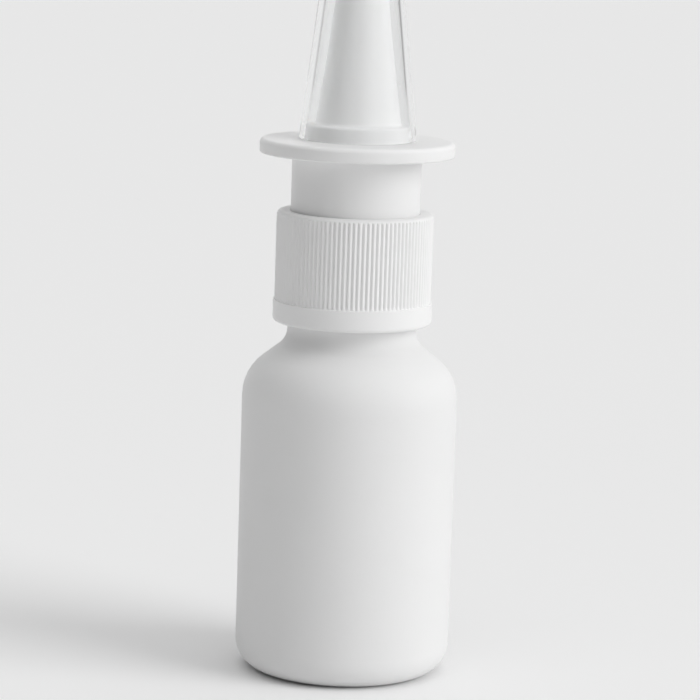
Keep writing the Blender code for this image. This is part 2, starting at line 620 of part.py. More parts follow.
def make_stem(finish, unit):
    """Hollow stem: open at the top, side ports low down where the piston covers them."""
    outline = [
        (0, STEM_FOOT_Z - STEM_SPIGOT),
        (SPIGOT_RADIUS, STEM_FOOT_Z - STEM_SPIGOT),
        (SPIGOT_RADIUS, STEM_FOOT_Z),
        (STEM_COLLAR_RADIUS, STEM_FOOT_Z),
        (STEM_COLLAR_RADIUS, STEM_FOOT_TOP_Z),
        (STEM_WAIST, STEM_FOOT_TOP_Z),
        (STEM_WAIST, COLLAR_Z),
        (STEM_COLLAR_RADIUS, COLLAR_Z),
        (STEM_COLLAR_RADIUS, COLLAR_TOP_Z),
        (STEM_RADIUS, COLLAR_TOP_Z),
        (STEM_RADIUS, STEM_TOP_Z),
        (STEM_BORE, STEM_TOP_Z),
        (STEM_BORE, STEM_FOOT_TOP_Z),
        (0, STEM_FOOT_TOP_Z),
    ]
    stem = add("stem", turned("stem", outline, SMALL_SIDES), finish, COLLAR_TOP_Z, unit)
    port_z = STEM_FOOT_TOP_Z + SEAT_GAP + VALVE_SLIP / 2 + STEM_PORT_RADIUS
    across = Matrix.Translation((0, 0, port_z)) @ Matrix.Rotation(math.radians(90), 4, "Y")
    ports = rods("stem_ports", STEM_PORT_RADIUS, (STEM_WAIST + OVERRUN) * 2, [across])
    combine(stem, "DIFFERENCE", "stem_ports", ports)
    return stem


def make_piston(finish, unit):
    outer = CYLINDER_RADIUS - SLIDE_GAP
    outline = [
        (STEM_WAIST + SLIDE_GAP, PISTON_Z),
        (outer, PISTON_Z),
        (outer, PISTON_Z + PISTON_LIP),
        (outer - PISTON_WAIST, PISTON_Z + PISTON_LIP),
        (outer - PISTON_WAIST, PISTON_TOP_Z - PISTON_LIP),
        (outer, PISTON_TOP_Z - PISTON_LIP),
        (outer, PISTON_TOP_Z),
        (STEM_WAIST + SLIDE_GAP, PISTON_TOP_Z),
    ]
    return add("piston", turned("piston", outline, SMALL_SIDES), finish, PISTON_Z, unit)


def nozzle_radius(z):
    """The nozzle's outer radius at a height: a cone, a little drawn in halfway up."""
    share = (z - RING_TOP_Z) / (NOSE_Z - RING_TOP_Z)
    cone = NOZZLE_ROOT_RADIUS + (NOZZLE_TIP_RADIUS - NOZZLE_ROOT_RADIUS) * share
    return cone - NOZZLE_WAIST * math.sin(math.pi * min(max(share, 0.0), 1.0))


def nozzle_side(low_z, high_z, inset, steps):
    heights = [low_z + (high_z - low_z) * i / steps for i in range(steps + 1)]
    return [(nozzle_radius(z) - inset, z) for z in heights]


def make_actuator(finish, unit):
    """Skirt, finger flange and nozzle in one moulding, with the delivery tube down its middle."""
    skirt_bore = SKIRT_RADIUS - SKIRT_WALL
    roof_z = FLANGE_TOP_Z - ROOF_THICKNESS
    hollow_z = TIP_Z - NOSE_LENGTH
    lower = (FLANGE_RADIUS - FLANGE_LOWER_ROUND, FLANGE_Z + FLANGE_LOWER_ROUND)
    upper = (FLANGE_RADIUS - FLANGE_UPPER_ROUND, FLANGE_TOP_Z - FLANGE_UPPER_ROUND)
    outline = [(skirt_bore, SKIRT_Z), (SKIRT_RADIUS, SKIRT_Z), (SKIRT_RADIUS, FLANGE_Z)]
    outline += arc(lower, FLANGE_LOWER_ROUND, -90, 0, 2) + arc(upper, FLANGE_UPPER_ROUND, 0, 90, 3)
    outline += [
        (SEAT_RING_RADIUS, FLANGE_TOP_Z),
        (SEAT_RING_RADIUS, RING_TOP_Z - SEAT_RING_EDGE),
        (SEAT_RING_RADIUS - SEAT_RING_EDGE, RING_TOP_Z),
    ]
    outline += nozzle_side(RING_TOP_Z, NOSE_Z, 0, 4)[:-1]
    nose_width = NOZZLE_TIP_RADIUS - INSERT_BORE - SLIDE_GAP
    for r, z in arc((0, 0), 1, 0, 90, 3):
        outline.append((NOZZLE_TIP_RADIUS - nose_width * (1 - r), NOSE_Z + NOSE_HEIGHT * z))
    outline += [
        (INSERT_BORE, TIP_Z),
        (INSERT_BORE, INSERT_Z - SEAT_GAP),
        (DELIVERY_BORE, INSERT_Z - SEAT_GAP),
        (DELIVERY_BORE, CORE_FOOT_Z - SEAT_GAP),
        (STEM_BORE, CORE_FOOT_Z - SEAT_GAP),
        (STEM_BORE, STEM_TOP_Z + SEAT_GAP),
        (STEM_HOLE, STEM_TOP_Z + SEAT_GAP),
        (STEM_HOLE, STEM_SOCKET_Z),
        (SOCKET_OUTER, STEM_SOCKET_Z),
        (SOCKET_OUTER, CORE_FOOT_Z),
        (DELIVERY_RADIUS, CORE_FOOT_Z + SOCKET_WALL),
        (DELIVERY_RADIUS, hollow_z),
    ]
    outline += nozzle_side(roof_z, hollow_z, NOZZLE_WALL, 3)[::-1]
    outline += [(skirt_bore, roof_z)]
    actuator = add("actuator", turned("actuator", outline, BIG_SIDES), finish, FLANGE_Z, unit)

    inner = DELIVERY_RADIUS - DELIVERY_WALL / 2
    foot_z = max(FLANGE_TOP_Z, CORE_FOOT_Z + SOCKET_WALL) + BLADE_RISE
    top_z = min(foot_z + BLADE_HEIGHT, hollow_z)
    side = nozzle_side(foot_z, top_z, NOZZLE_WALL / 2, 1)
    ribs = blades("nozzle_blades", [(inner, foot_z)] + side + [(inner, top_z)], BLADE_THICKNESS, BLADE_COUNT)
    combine(actuator, "UNION", "nozzle_blades", ribs)
    return actuator


def make_core(finish, unit):
    """Rod that fills the delivery tube, with grooves that the liquid climbs."""
    outline = [
        (0, CORE_FOOT_Z),
        (CORE_RADIUS, CORE_FOOT_Z),
        (CORE_RADIUS, CORE_SHOULDER_Z),
        (CORE_NECK_RADIUS, CORE_SHOULDER_Z),
        (CORE_NECK_RADIUS, CORE_TOP_Z),
        (0, CORE_TOP_Z),
    ]
    core = add("nozzle_core", turned("nozzle_core", outline, SMALL_SIDES), finish, CORE_FOOT_Z, unit)
    foot_z, top_z = CORE_FOOT_Z - OVERRUN, CORE_TOP_Z + OVERRUN
    inner, outer = CORE_RADIUS - GROOVE_DEPTH, CORE_RADIUS + OVERRUN
    side = [(inner, foot_z), (outer, foot_z), (outer, top_z), (inner, top_z)]
    combine(core, "DIFFERENCE", "core_grooves", blades("core_grooves", side, GROOVE_WIDTH, GROOVE_COUNT))
    return core


def make_insert(finish, unit):
    outline = [
        (INSERT_HOLLOW, INSERT_Z),
        (INSERT_RADIUS, INSERT_Z),
        (INSERT_RADIUS, TIP_Z),
        (ORIFICE_RADIUS + ORIFICE_FLARE, TIP_Z),
        (ORIFICE_RADIUS, TIP_Z - ORIFICE_FLARE),
        (ORIFICE_RADIUS, INSERT_HOLLOW_Z),
        (INSERT_HOLLOW, INSERT_HOLLOW_Z),
    ]
    return add("spray_insert", turned("spray_insert", outline, SMALL_SIDES), finish, INSERT_Z, unit)


def make_overcap(finish, unit):
    centre = (CAP_TOP_RADIUS - CAP_TOP_ROUND, CAP_TOP_Z - CAP_TOP_ROUND)
    outline = [(0, CAP_ROOF_Z)] + arc(centre, CAP_TOP_ROUND - CAP_WALL, 90, 0, 3)
    outline += [(CAP_BORE, RING_TOP_Z + SEAT_GAP), (CAP_BORE, CAP_Z), (CAP_RADIUS, CAP_Z)]
    outline += arc(centre, CAP_TOP_ROUND, 0, 90, 4) + [(0, CAP_TOP_Z)]
    return add("overcap", turned("overcap", outline, BIG_SIDES), finish, CAP_Z, unit)


def main():
    for obj in list(bpy.data.objects):
        bpy.data.objects.remove(obj)
    bottle_white = material("bottle_polyethylene", (0.86, 0.86, 0.86), 0.42)
    cap_white = material("closure_polypropylene", (0.87, 0.87, 0.87), 0.38)
    natural = material("natural_polypropylene", (0.82, 0.83, 0.82), 0.35)
    seal_grey = material("seal_elastomer", (0.55, 0.56, 0.57), 0.7)
    steel = material("stainless_steel", (0.62, 0.62, 0.64), 0.25, metallic=1.0)
    tube_clear = material("tube_polyethylene", (0.85, 0.86, 0.87), 0.3, transmission=0.4)
    clear = material("overcap_clear", (0.98, 0.99, 0.99), 0.05, transmission=1.0)

    make_bottle(bottle_white)

    pump = moving_unit("pump_unit", GASKET_Z)
    inner, outer = HOUSING_RADIUS + SLIDE_GAP, GASKET_RADIUS
    make_disc("neck_gasket", inner, outer, GASKET_Z, GASKET_THICKNESS, MIDDLE_SIDES, seal_grey, pump)
    inner, outer = STEM_HOLE, HEAD_RADIUS - SLIDE_GAP
    make_disc("stem_seal", inner, outer, SEAL_Z, SEAL_THICKNESS, SMALL_SIDES, seal_grey, pump)
    make_housing(natural, pump)
    make_turret(natural, pump)
    make_cage(natural, pump)
    make_dip_tube(tube_clear, pump)
    spring(
        "return_spring", RETURN_WIRE, RETURN_RADIUS, RETURN_SPRING_Z, RETURN_SPRING, RETURN_COILS, steel, pump
    )
    make_ball(steel, moving_unit("ball_unit", BALL_Z))
    make_closure(cap_white, moving_unit("closure_unit", CLOSURE_Z))

    stem_unit = moving_unit("stem_unit", COLLAR_TOP_Z)
    make_stem(natural, stem_unit)
    spring(
        "valve_spring", VALVE_WIRE, VALVE_RADIUS, VALVE_SPRING_Z, VALVE_SPRING, VALVE_COILS, steel, stem_unit
    )
    make_piston(natural, moving_unit("piston_unit", PISTON_Z))

    actuator_unit = moving_unit("actuator_unit", FLANGE_Z)
    make_actuator(cap_white, actuator_unit)
    make_core(natural, actuator_unit)
    make_insert(natural, actuator_unit)
    make_overcap(clear, moving_unit("cap_unit", CAP_Z))


main()
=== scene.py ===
import math

import bmesh
import bpy
from mathutils import Matrix, Vector


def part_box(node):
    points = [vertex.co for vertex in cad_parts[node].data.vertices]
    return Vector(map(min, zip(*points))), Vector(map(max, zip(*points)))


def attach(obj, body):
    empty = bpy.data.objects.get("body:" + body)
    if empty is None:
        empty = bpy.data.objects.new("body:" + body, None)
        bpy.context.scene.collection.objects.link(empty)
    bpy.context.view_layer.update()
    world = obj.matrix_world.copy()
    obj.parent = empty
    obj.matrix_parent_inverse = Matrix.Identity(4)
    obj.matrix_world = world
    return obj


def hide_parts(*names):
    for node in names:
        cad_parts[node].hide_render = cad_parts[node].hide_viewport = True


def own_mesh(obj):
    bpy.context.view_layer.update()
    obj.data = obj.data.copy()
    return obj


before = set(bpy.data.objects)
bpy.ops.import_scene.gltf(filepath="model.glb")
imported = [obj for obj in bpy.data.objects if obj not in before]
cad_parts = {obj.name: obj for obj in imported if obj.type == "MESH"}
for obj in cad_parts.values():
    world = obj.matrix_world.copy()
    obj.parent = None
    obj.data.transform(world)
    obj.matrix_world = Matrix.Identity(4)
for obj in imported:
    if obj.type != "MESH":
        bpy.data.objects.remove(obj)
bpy.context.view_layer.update()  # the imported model, a fixed frame

mm = 0.001
mergeDistance = 0.0005 * mm
arcStep = 9.0  # degrees of a round for each facet
sharpAngle = 40.0
plainHold = 0.35 * mm  # from a round to the extra points that hold its shading
fineHold = 0.2 * mm
plainSides = 96
rodSides = 32


# Outlines and turned shapes

def laidRound(before, corner, after, radius):
    # an arc that touches both sides of a corner
    toBefore = (before - corner).normalized()
    toAfter = (after - corner).normalized()
    half = toBefore.angle(toAfter) / 2
    middle = corner + (toBefore + toAfter).normalized() * radius / math.sin(half)
    start = corner + toBefore * radius / math.tan(half) - middle
    end = corner + toAfter * radius / math.tan(half) - middle
    sweep = -start.angle_signed(end)
    steps = max(2, math.ceil(abs(math.degrees(sweep)) / arcStep))
    return [middle + Matrix.Rotation(sweep * i / steps, 2) @ start for i in range(steps + 1)]


def roundedOutline(corners, hold=plainHold, closed=None):
    # corners are (radius, height, round); an outline that starts on the axis stays open along it
    if closed is None:
        closed = corners[0][0] > 0
    points = []
    for i, (radius, height, fillet) in enumerate(corners):
        corner = Vector((radius, height))
        if fillet:
            before = Vector(corners[i - 1][:2])
            after = Vector(corners[(i + 1) % len(corners)][:2])
            points += laidRound(before, corner, after, fillet)
        else:
            points.append(corner)
    held = [points[0]]
    for point, following in zip(points, points[1:] + points[:1] * closed):
        span = following - point
        if span.length > 3 * hold:  # extra points near the rounds keep their shading off the long faces
            held.append(point + span.normalized() * hold)
            held.append(following - span.normalized() * hold)
        held.append(following)
    return held[:-1] if closed else held


def turn(shape, outline, sides, closed):
    verts = [shape.verts.new((radius, 0, height)) for radius, height in outline]
    edges = [shape.edges.new(pair) for pair in zip(verts, verts[1:])]
    if closed:
        edges.append(shape.edges.new((verts[-1], verts[0])))
    bmesh.ops.spin(
        shape, geom=verts + edges, cent=(0, 0, 0), axis=(0, 0, 1), angle=math.tau, steps=sides, use_merge=True
    )


def cleaned(shape):
    bmesh.ops.remove_doubles(shape, verts=shape.verts, dist=mergeDistance)
    bmesh.ops.recalc_face_normals(shape, faces=shape.faces)
    return shape


def turnedShape(corners, sides=plainSides, hold=plainHold):
    shape = bmesh.new()
    turn(shape, roundedOutline(corners, hold), sides, closed=corners[0][0] > 0)
    return cleaned(shape)


def rodShape(radius, length, middle, tilt=Matrix.Identity(4)):
    # a plain rod that cuts a hole
    rod = bmesh.new()
    bmesh.ops.create_cone(
        rod, cap_ends=True, segments=rodSides, radius1=radius, radius2=radius, depth=length,
        matrix=Matrix.Translation(middle) @ tilt,
    )
    return rod


def plateShape(side, thickness, count):
    # flat plates that stand out from the axis, evenly round it
    shape = bmesh.new()
    for i in range(count):
        verts = [shape.verts.new((radius, -thickness / 2, height)) for radius, height in side]
        plate = shape.faces.new(verts)
        raised = bmesh.ops.extrude_face_region(shape, geom=[plate])["geom"]
        raised = [item for item in raised if isinstance(item, bmesh.types.BMVert)]
        bmesh.ops.translate(shape, verts=raised, vec=(0, thickness, 0))
        bmesh.ops.rotate(
            shape, verts=verts + raised, cent=(0, 0, 0), matrix=Matrix.Rotation(math.tau * i / count, 3, "Z")
        )
    return cleaned(shape)


def joined(shape, others, operation="UNION"):
    # a Boolean of one shape with others, as one new shape
    helpers = []
    for part in [shape, *others]:
        mesh = bpy.data.meshes.new("helper")
        part.to_mesh(mesh)
        part.free()
        helper = bpy.data.objects.new("helper", mesh)
        bpy.context.scene.collection.objects.link(helper)
        helpers.append(helper)
    for other in helpers[1:]:
        boolean = helpers[0].modifiers.new("join", "BOOLEAN")
        boolean.operation = operation
        boolean.solver = "EXACT"
        boolean.object = other
    result = bmesh.new()
    result.from_object(helpers[0], bpy.context.evaluated_depsgraph_get())
    for helper in helpers:
        mesh = helper.data
        bpy.data.objects.remove(helper)
        bpy.data.meshes.remove(mesh)
    return result


def addPiece(name, shape, material, body, node):
    mesh = bpy.data.meshes.new(name)
    shape.to_mesh(mesh)
    shape.free()
    mesh.materials.append(material)
    mesh.shade_smooth()
    mesh.set_sharp_from_angle(angle=math.radians(sharpAngle))
    piece = bpy.data.objects.new(name, mesh)
    bpy.context.scene.collection.objects.link(piece)
    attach(piece, body)
    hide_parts(node)
    print("made", name, len(mesh.polygons), "faces")
    return piece


def extent(node):
    # foot, top and outer radius of a turned CAD node
    low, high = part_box(node)
    return low.z, high.z, high.x


# Materials

noiseLow, noiseHigh = 0.3, 0.7  # nearly all of a noise lies between
cloudDetail = 3
fineDetail = 2
evenStretch = (1, 1, 1)


def noiseNode(tree, scale, detail=fineDetail, stretch=evenStretch):
    coordinates = tree.nodes.new("ShaderNodeTexCoord")
    mapping = tree.nodes.new("ShaderNodeMapping")
    mapping.inputs["Scale"].default_value = stretch
    noise = tree.nodes.new("ShaderNodeTexNoise")
    noise.inputs["Scale"].default_value = scale
    noise.inputs["Detail"].default_value = detail
    tree.links.new(coordinates.outputs["Object"], mapping.inputs["Vector"])
    tree.links.new(mapping.outputs["Vector"], noise.inputs["Vector"])
    return noise.outputs["Fac"]


def rangeNode(tree, value, low, high):
    spread = tree.nodes.new("ShaderNodeMapRange")
    spread.inputs["From Min"].default_value = noiseLow
    spread.inputs["From Max"].default_value = noiseHigh
    spread.inputs["To Min"].default_value = low
    spread.inputs["To Max"].default_value = high
    tree.links.new(value, spread.inputs["Value"])
    return spread.outputs["Result"]


def mathNode(tree, operation, first, second):
    node = tree.nodes.new("ShaderNodeMath")
    node.operation = operation
    for socket, value in zip(node.inputs, (first, second)):
        if isinstance(value, bpy.types.NodeSocket):
            tree.links.new(value, socket)
        else:
            socket.default_value = value
    return node.outputs["Value"]


def surface(name, look):
    # cloudy colour, uneven gloss and a fine skin, each from a noise at its own scale
    material = bpy.data.materials.new(name)
    material.use_nodes = True
    tree = material.node_tree
    shader = tree.nodes["Principled BSDF"]
    for socket, value in look.get("shader", {}).items():
        shader.inputs[socket].default_value = value
    stretch = look.get("stretch", evenStretch)
    tint = tree.nodes.new("ShaderNodeMix")
    tint.data_type = "RGBA"
    tint.inputs["A"].default_value = (*look["colour"], 1)
    tint.inputs["B"].default_value = (*look["shade"], 1)
    cloud = noiseNode(tree, look["cloudScale"], cloudDetail, stretch)
    tree.links.new(rangeNode(tree, cloud, 0, 1), tint.inputs["Factor"])
    tree.links.new(tint.outputs["Result"], shader.inputs["Base Color"])
    grain = noiseNode(tree, look["grainScale"], fineDetail, stretch)
    tree.links.new(rangeNode(tree, grain, *look["roughness"]), shader.inputs["Roughness"])
    bump = tree.nodes.new("ShaderNodeBump")
    bump.inputs["Distance"].default_value = look["skinDepth"]
    skin = noiseNode(tree, look["skinScale"], fineDetail, stretch)
    tree.links.new(skin, bump.inputs["Height"])
    tree.links.new(bump.outputs["Normal"], shader.inputs["Normal"])
    return material


def clearPlastic(name, look):
    # polished clear plastic: the lamp's light goes straight through to what it covers, and so does a ray that
    # the wall has led on too often, which would end black
    material = bpy.data.materials.new(name)
    material.use_nodes = True
    tree = material.node_tree
    shader = tree.nodes["Principled BSDF"]
    shader.inputs["Base Color"].default_value = (*look["colour"], 1)
    shader.inputs["Transmission Weight"].default_value = 1.0
    shader.inputs["IOR"].default_value = look["ior"]
    grain = noiseNode(tree, look["grainScale"])
    tree.links.new(rangeNode(tree, grain, *look["roughness"]), shader.inputs["Roughness"])
    bump = tree.nodes.new("ShaderNodeBump")
    bump.inputs["Distance"].default_value = look["waveDepth"]
    wave = noiseNode(tree, look["waveScale"], look["waveDetail"], look["waveStretch"])
    tree.links.new(wave, bump.inputs["Height"])
    tree.links.new(bump.outputs["Normal"], shader.inputs["Normal"])
    passed = tree.nodes.new("ShaderNodeBsdfTransparent")
    path = tree.nodes.new("ShaderNodeLightPath")
    trapped = mathNode(tree, "GREATER_THAN", path.outputs["Ray Depth"], look["trappedDepth"])
    straight = mathNode(tree, "MAXIMUM", path.outputs["Is Shadow Ray"], trapped)
    mix = tree.nodes.new("ShaderNodeMixShader")
    tree.links.new(straight, mix.inputs["Fac"])
    tree.links.new(shader.outputs["BSDF"], mix.inputs[1])
    tree.links.new(passed.outputs["BSDF"], mix.inputs[2])
    tree.links.new(mix.outputs["Shader"], tree.nodes["Material Output"].inputs["Surface"])
    return material


softWhite = {"Subsurface Weight": 0.12, "Subsurface Radius": (1.0, 0.97, 0.93), "Subsurface Scale": 0.8 * mm}

bottleWhite = surface("bottleWhite", {
    "colour": (0.86, 0.86, 0.86), "shade": (0.848, 0.849, 0.848), "cloudScale": 70,
    "roughness": (0.42, 0.52), "grainScale": 420, "skinScale": 900, "skinDepth": 0.012 * mm,
    "shader": softWhite | {"IOR": 1.52},
})
closureWhite = surface("closureWhite", {
    "colour": (0.91, 0.91, 0.91), "shade": (0.903, 0.903, 0.902), "cloudScale": 90,
    "roughness": (0.36, 0.46), "grainScale": 600, "skinScale": 1500, "skinDepth": 0.004 * mm,
    "shader": {"IOR": 1.5},
})
actuatorWhite = surface("actuatorWhite", {
    "colour": (0.885, 0.885, 0.885), "shade": (0.878, 0.878, 0.877), "cloudScale": 80,
    "roughness": (0.32, 0.4), "grainScale": 500, "skinScale": 1200, "skinDepth": 0.004 * mm,
    "shader": softWhite | {"IOR": 1.5},
})
naturalPlastic = surface("naturalPlastic", {
    "colour": (0.82, 0.83, 0.82), "shade": (0.78, 0.795, 0.785), "cloudScale": 160,
    "roughness": (0.3, 0.42), "grainScale": 800, "skinScale": 1800, "skinDepth": 0.004 * mm,
    "shader": {
        "Subsurface Weight": 0.35, "Subsurface Radius": (1.0, 1.0, 0.95), "Subsurface Scale": 1.2 * mm,
    },
})
tubePlastic = surface("tubePlastic", {
    "colour": (0.87, 0.88, 0.88), "shade": (0.83, 0.845, 0.85), "cloudScale": 260,
    "roughness": (0.22, 0.34), "grainScale": 900, "skinScale": 1600, "skinDepth": 0.004 * mm,
    "stretch": (1, 1, 0.15),
    "shader": {"Transmission Weight": 0.45, "IOR": 1.51},
})
sealRubber = surface("sealRubber", {
    "colour": (0.55, 0.56, 0.57), "shade": (0.5, 0.51, 0.52), "cloudScale": 500,
    "roughness": (0.62, 0.75), "grainScale": 2400, "skinScale": 4000, "skinDepth": 0.006 * mm,
})
springSteel = surface("springSteel", {
    "colour": (0.62, 0.62, 0.63), "shade": (0.55, 0.55, 0.56), "cloudScale": 300,
    "roughness": (0.2, 0.32), "grainScale": 2500, "skinScale": 5000, "skinDepth": 0.001 * mm,
    "shader": {"Metallic": 1.0},
})
ballSteel = surface("ballSteel", {
    "colour": (0.64, 0.64, 0.65), "shade": (0.6, 0.6, 0.61), "cloudScale": 700,
    "roughness": (0.07, 0.14), "grainScale": 1500, "skinScale": 5000, "skinDepth": 0.0005 * mm,
    "shader": {"Metallic": 1.0},
})
overcapClear = clearPlastic("overcapClear", {
    "colour": (0.98, 0.985, 0.985), "ior": 1.49, "roughness": (0.012, 0.03), "grainScale": 300,
    "waveScale": 60, "waveDepth": 0.004 * mm, "waveDetail": 1, "waveStretch": (1, 1, 0.3),
    "trappedDepth": 5.5,
})
print("materials made")


# Threads of the neck and the closure

closureFoot, closureTop, bandRadius = extent("screw_closure")
neckTop, bodyRadius = extent("bottle")[1:]
skirtFoot, nozzleTop, flangeRadius = extent("actuator")

screwThread = {
    "lead": 3.175 * mm,
    "rootWidth": 1.5 * mm,
    "crestWidth": 0.7 * mm,
    "depth": 1.0 * mm,
    "clearance": 0.2 * mm,
    "neckTurns": 1.3,
    "neckLip": 0.4 * mm,  # plain height above the neck's thread
    "closureTurns": 1.15,
    "closureLip": 0.3 * mm,  # plain height below the closure's thread
    "lagTurns": 0.35,  # how far round the closure's thread starts after the neck's
    "fadeTurns": 0.12,
    "endSink": 0.1 * mm,
    "stepsPerTurn": 72,
    "sink": 0.5 * mm,
}


def threadRidge(rootRadius, crestRadius, startHeight, firstTurn, turns):
    # one ridge along a helix whose ends run out into the wall
    spec = screwThread
    outward = math.copysign(1, crestRadius - rootRadius)
    sunk = rootRadius - outward * spec["sink"]
    halfRoot, halfCrest = spec["rootWidth"] / 2, spec["crestWidth"] / 2
    corners = [
        (sunk, -halfRoot), (rootRadius, -halfRoot), (crestRadius, -halfCrest),
        (crestRadius, halfCrest), (rootRadius, halfRoot), (sunk, halfRoot),
    ]
    steps = round(turns * spec["stepsPerTurn"])
    shape = bmesh.new()
    ring = [shape.verts.new((radius, 0, startHeight + height)) for radius, height in corners]
    bmesh.ops.rotate(shape, verts=ring, cent=(0, 0, 0), matrix=Matrix.Rotation(math.tau * firstTurn, 3, "Z"))
    section = shape.faces.new(ring)
    bmesh.ops.spin(
        shape, geom=[section], cent=(0, 0, 0), axis=(0, 0, 1), angle=math.tau * turns, steps=steps,
        dvec=(0, 0, spec["lead"] * turns / steps),
    )
    cleaned(shape)
    for vert in shape.verts:
        radius = vert.co.xy.length
        rise = outward * (radius - rootRadius)
        if rise > mergeDistance:
            along = (vert.co.z - startHeight) / spec["lead"]
            near = min(max(min(along, turns - along) / spec["fadeTurns"], 0), 1)
            share = math.sin(near * math.pi / 2)
            vert.co.xy *= (rootRadius + outward * (rise * share - spec["endSink"] * (1 - share))) / radius
    return shape


# Bottle: a straight body, a soft shoulder and a threaded neck

bottle = {
    "wall": 1.0 * mm,
    "baseRound": 4.0 * mm,
    "footWidth": 2.4 * mm,
    "footRound": 0.9 * mm,
    "pushUp": 0.9 * mm,
    "dish": 2.6 * mm,  # run of the slope from the foot ring up to the hollow base
    "gateRadius": 1.3 * mm,
    "gateDepth": 0.25 * mm,
    "shoulderSlope": math.radians(38),
    "shoulderRound": 6.7 * mm,
    "neckFillet": 3.0 * mm,
    "rootRadius": 8.95 * mm,
    "rootBelowClosure": 1.1 * mm,
    "rootGap": 0.15 * mm,  # from the root's top edge up to the closure
    "neckRadius": 7.75 * mm,
    "neckWall": 1.75 * mm,
    "lipRound": 0.25 * mm,
    "gateRound": 0.12 * mm,
    "dishRound": 2.2 * mm,
    "insideRound": 1.5 * mm,  # over the foot ring, inside
    "ledgeRound": 0.12 * mm,
    "ledgeRise": 0.05 * mm,  # of the root's top, towards the neck
    "neckFootRound": 0.3 * mm,
    "sides": 160,
}


def bottleShape(spec):
    wall = spec["wall"]
    halfBend = math.tan((math.pi / 2 - spec["shoulderSlope"]) / 2)
    rise = math.tan(spec["shoulderSlope"])
    coneTop = closureFoot - spec["rootBelowClosure"] - spec["neckFillet"] * halfBend
    coneFoot = coneTop - (bodyRadius - spec["rootRadius"]) * rise
    ringInner = bodyRadius - spec["baseRound"] - spec["footWidth"]
    neckBore = spec["neckRadius"] - spec["neckWall"]
    insideFoot = coneFoot - wall * halfBend
    insideTop = insideFoot + (bodyRadius - wall - neckBore) * rise
    rootTop = closureFoot - spec["rootGap"]
    corners = [
        (0, spec["pushUp"] - spec["gateDepth"], 0),
        (spec["gateRadius"], spec["pushUp"] - spec["gateDepth"], spec["gateRound"]),
        (spec["gateRadius"] + spec["gateDepth"], spec["pushUp"], spec["gateRound"]),
        (ringInner - spec["dish"], spec["pushUp"], spec["dishRound"]),
        (ringInner, 0, spec["footRound"]),
        (bodyRadius, 0, spec["baseRound"]),
        (bodyRadius, coneFoot, spec["shoulderRound"]),
        (spec["rootRadius"], coneTop, spec["neckFillet"]),
        (spec["rootRadius"], rootTop, spec["ledgeRound"]),
        (spec["neckRadius"], rootTop + spec["ledgeRise"], spec["neckFootRound"]),
        (spec["neckRadius"], neckTop, spec["lipRound"]),
        (neckBore, neckTop, spec["lipRound"]),
        (neckBore, insideTop, spec["neckFillet"] + wall),
        (bodyRadius - wall, insideFoot, spec["shoulderRound"] - wall),
        (bodyRadius - wall, wall, spec["baseRound"] - wall),
        (ringInner, wall, spec["insideRound"]),
        (ringInner - spec["dish"], spec["pushUp"] + wall, spec["insideRound"]),
        (0, spec["pushUp"] + wall, 0),
    ]
    threadTop = neckTop - screwThread["neckLip"] - screwThread["rootWidth"] / 2
    ridge = threadRidge(
        spec["neckRadius"], spec["neckRadius"] + screwThread["depth"],
        threadTop - screwThread["lead"] * screwThread["neckTurns"], 0, screwThread["neckTurns"],
    )
    return joined(turnedShape(corners, spec["sides"]), [ridge])


addPiece("bottleBody", bottleShape(bottle), bottleWhite, "bottle", "bottle")


# Screw closure: plain band, fine ribs, rounded crown, and the pocket that the actuator slides in

closure = {
    "sides": 208,
    "ribCount": 104,
    "sidesPerRib": 8,
    "ribDepth": 0.24 * mm,
    "crestShape": 0.7,  # below 1 the crests are wider than the grooves
    "ribShift": 0.125,  # of a rib, round the axis
    "crestRadius": 10.88 * mm,
    "crownRound": 0.6 * mm,
    "crownLand": 0.2 * mm,  # from the crown's round inwards to where the plainer rest begins
    "ribTopBelowCrown": 0.33 * mm,
    "bandHeight": 3.05 * mm,
    "bandRound": 0.55 * mm,
    "bandEdgeRound": 0.1 * mm,
    "ribEnd": 0.5 * mm,  # height over which a groove runs out
    "bore": 8.95 * mm,
    "pocket": 9.0 * mm,
    "pocketRound": 0.1 * mm,
    "travel": 4.3 * mm,  # from the web up to the skirt at rest
    "webThickness": 0.9 * mm,
    "webHole": 4.85 * mm,
    "edgeRound": 0.2 * mm,
    "webRound": 0.3 * mm,
    "webHoleRound": 0.15 * mm,
    "seam": 0.02 * mm,
    "ledge": 0.03 * mm,  # how far the finely divided outside reaches past the crests, at the band
    "footRows": (0.03, 0.1, 0.22, 0.4, 0.65, 1),  # of ribEnd
    "topRows": (1, 0.7),
}


def grooveDepth(spec, phase, fromEnd):
    # nothing on a rib's crest, the whole depth in a groove, which gets narrow and shallow near its ends
    crest = max(0.5 + 0.5 * math.cos(math.tau * phase), 0) ** spec["crestShape"]
    ramp = math.sqrt(1 - (1 - min(fromEnd / spec["ribEnd"], 1)) ** 2)
    return spec["ribDepth"] * max(ramp - crest, 0)


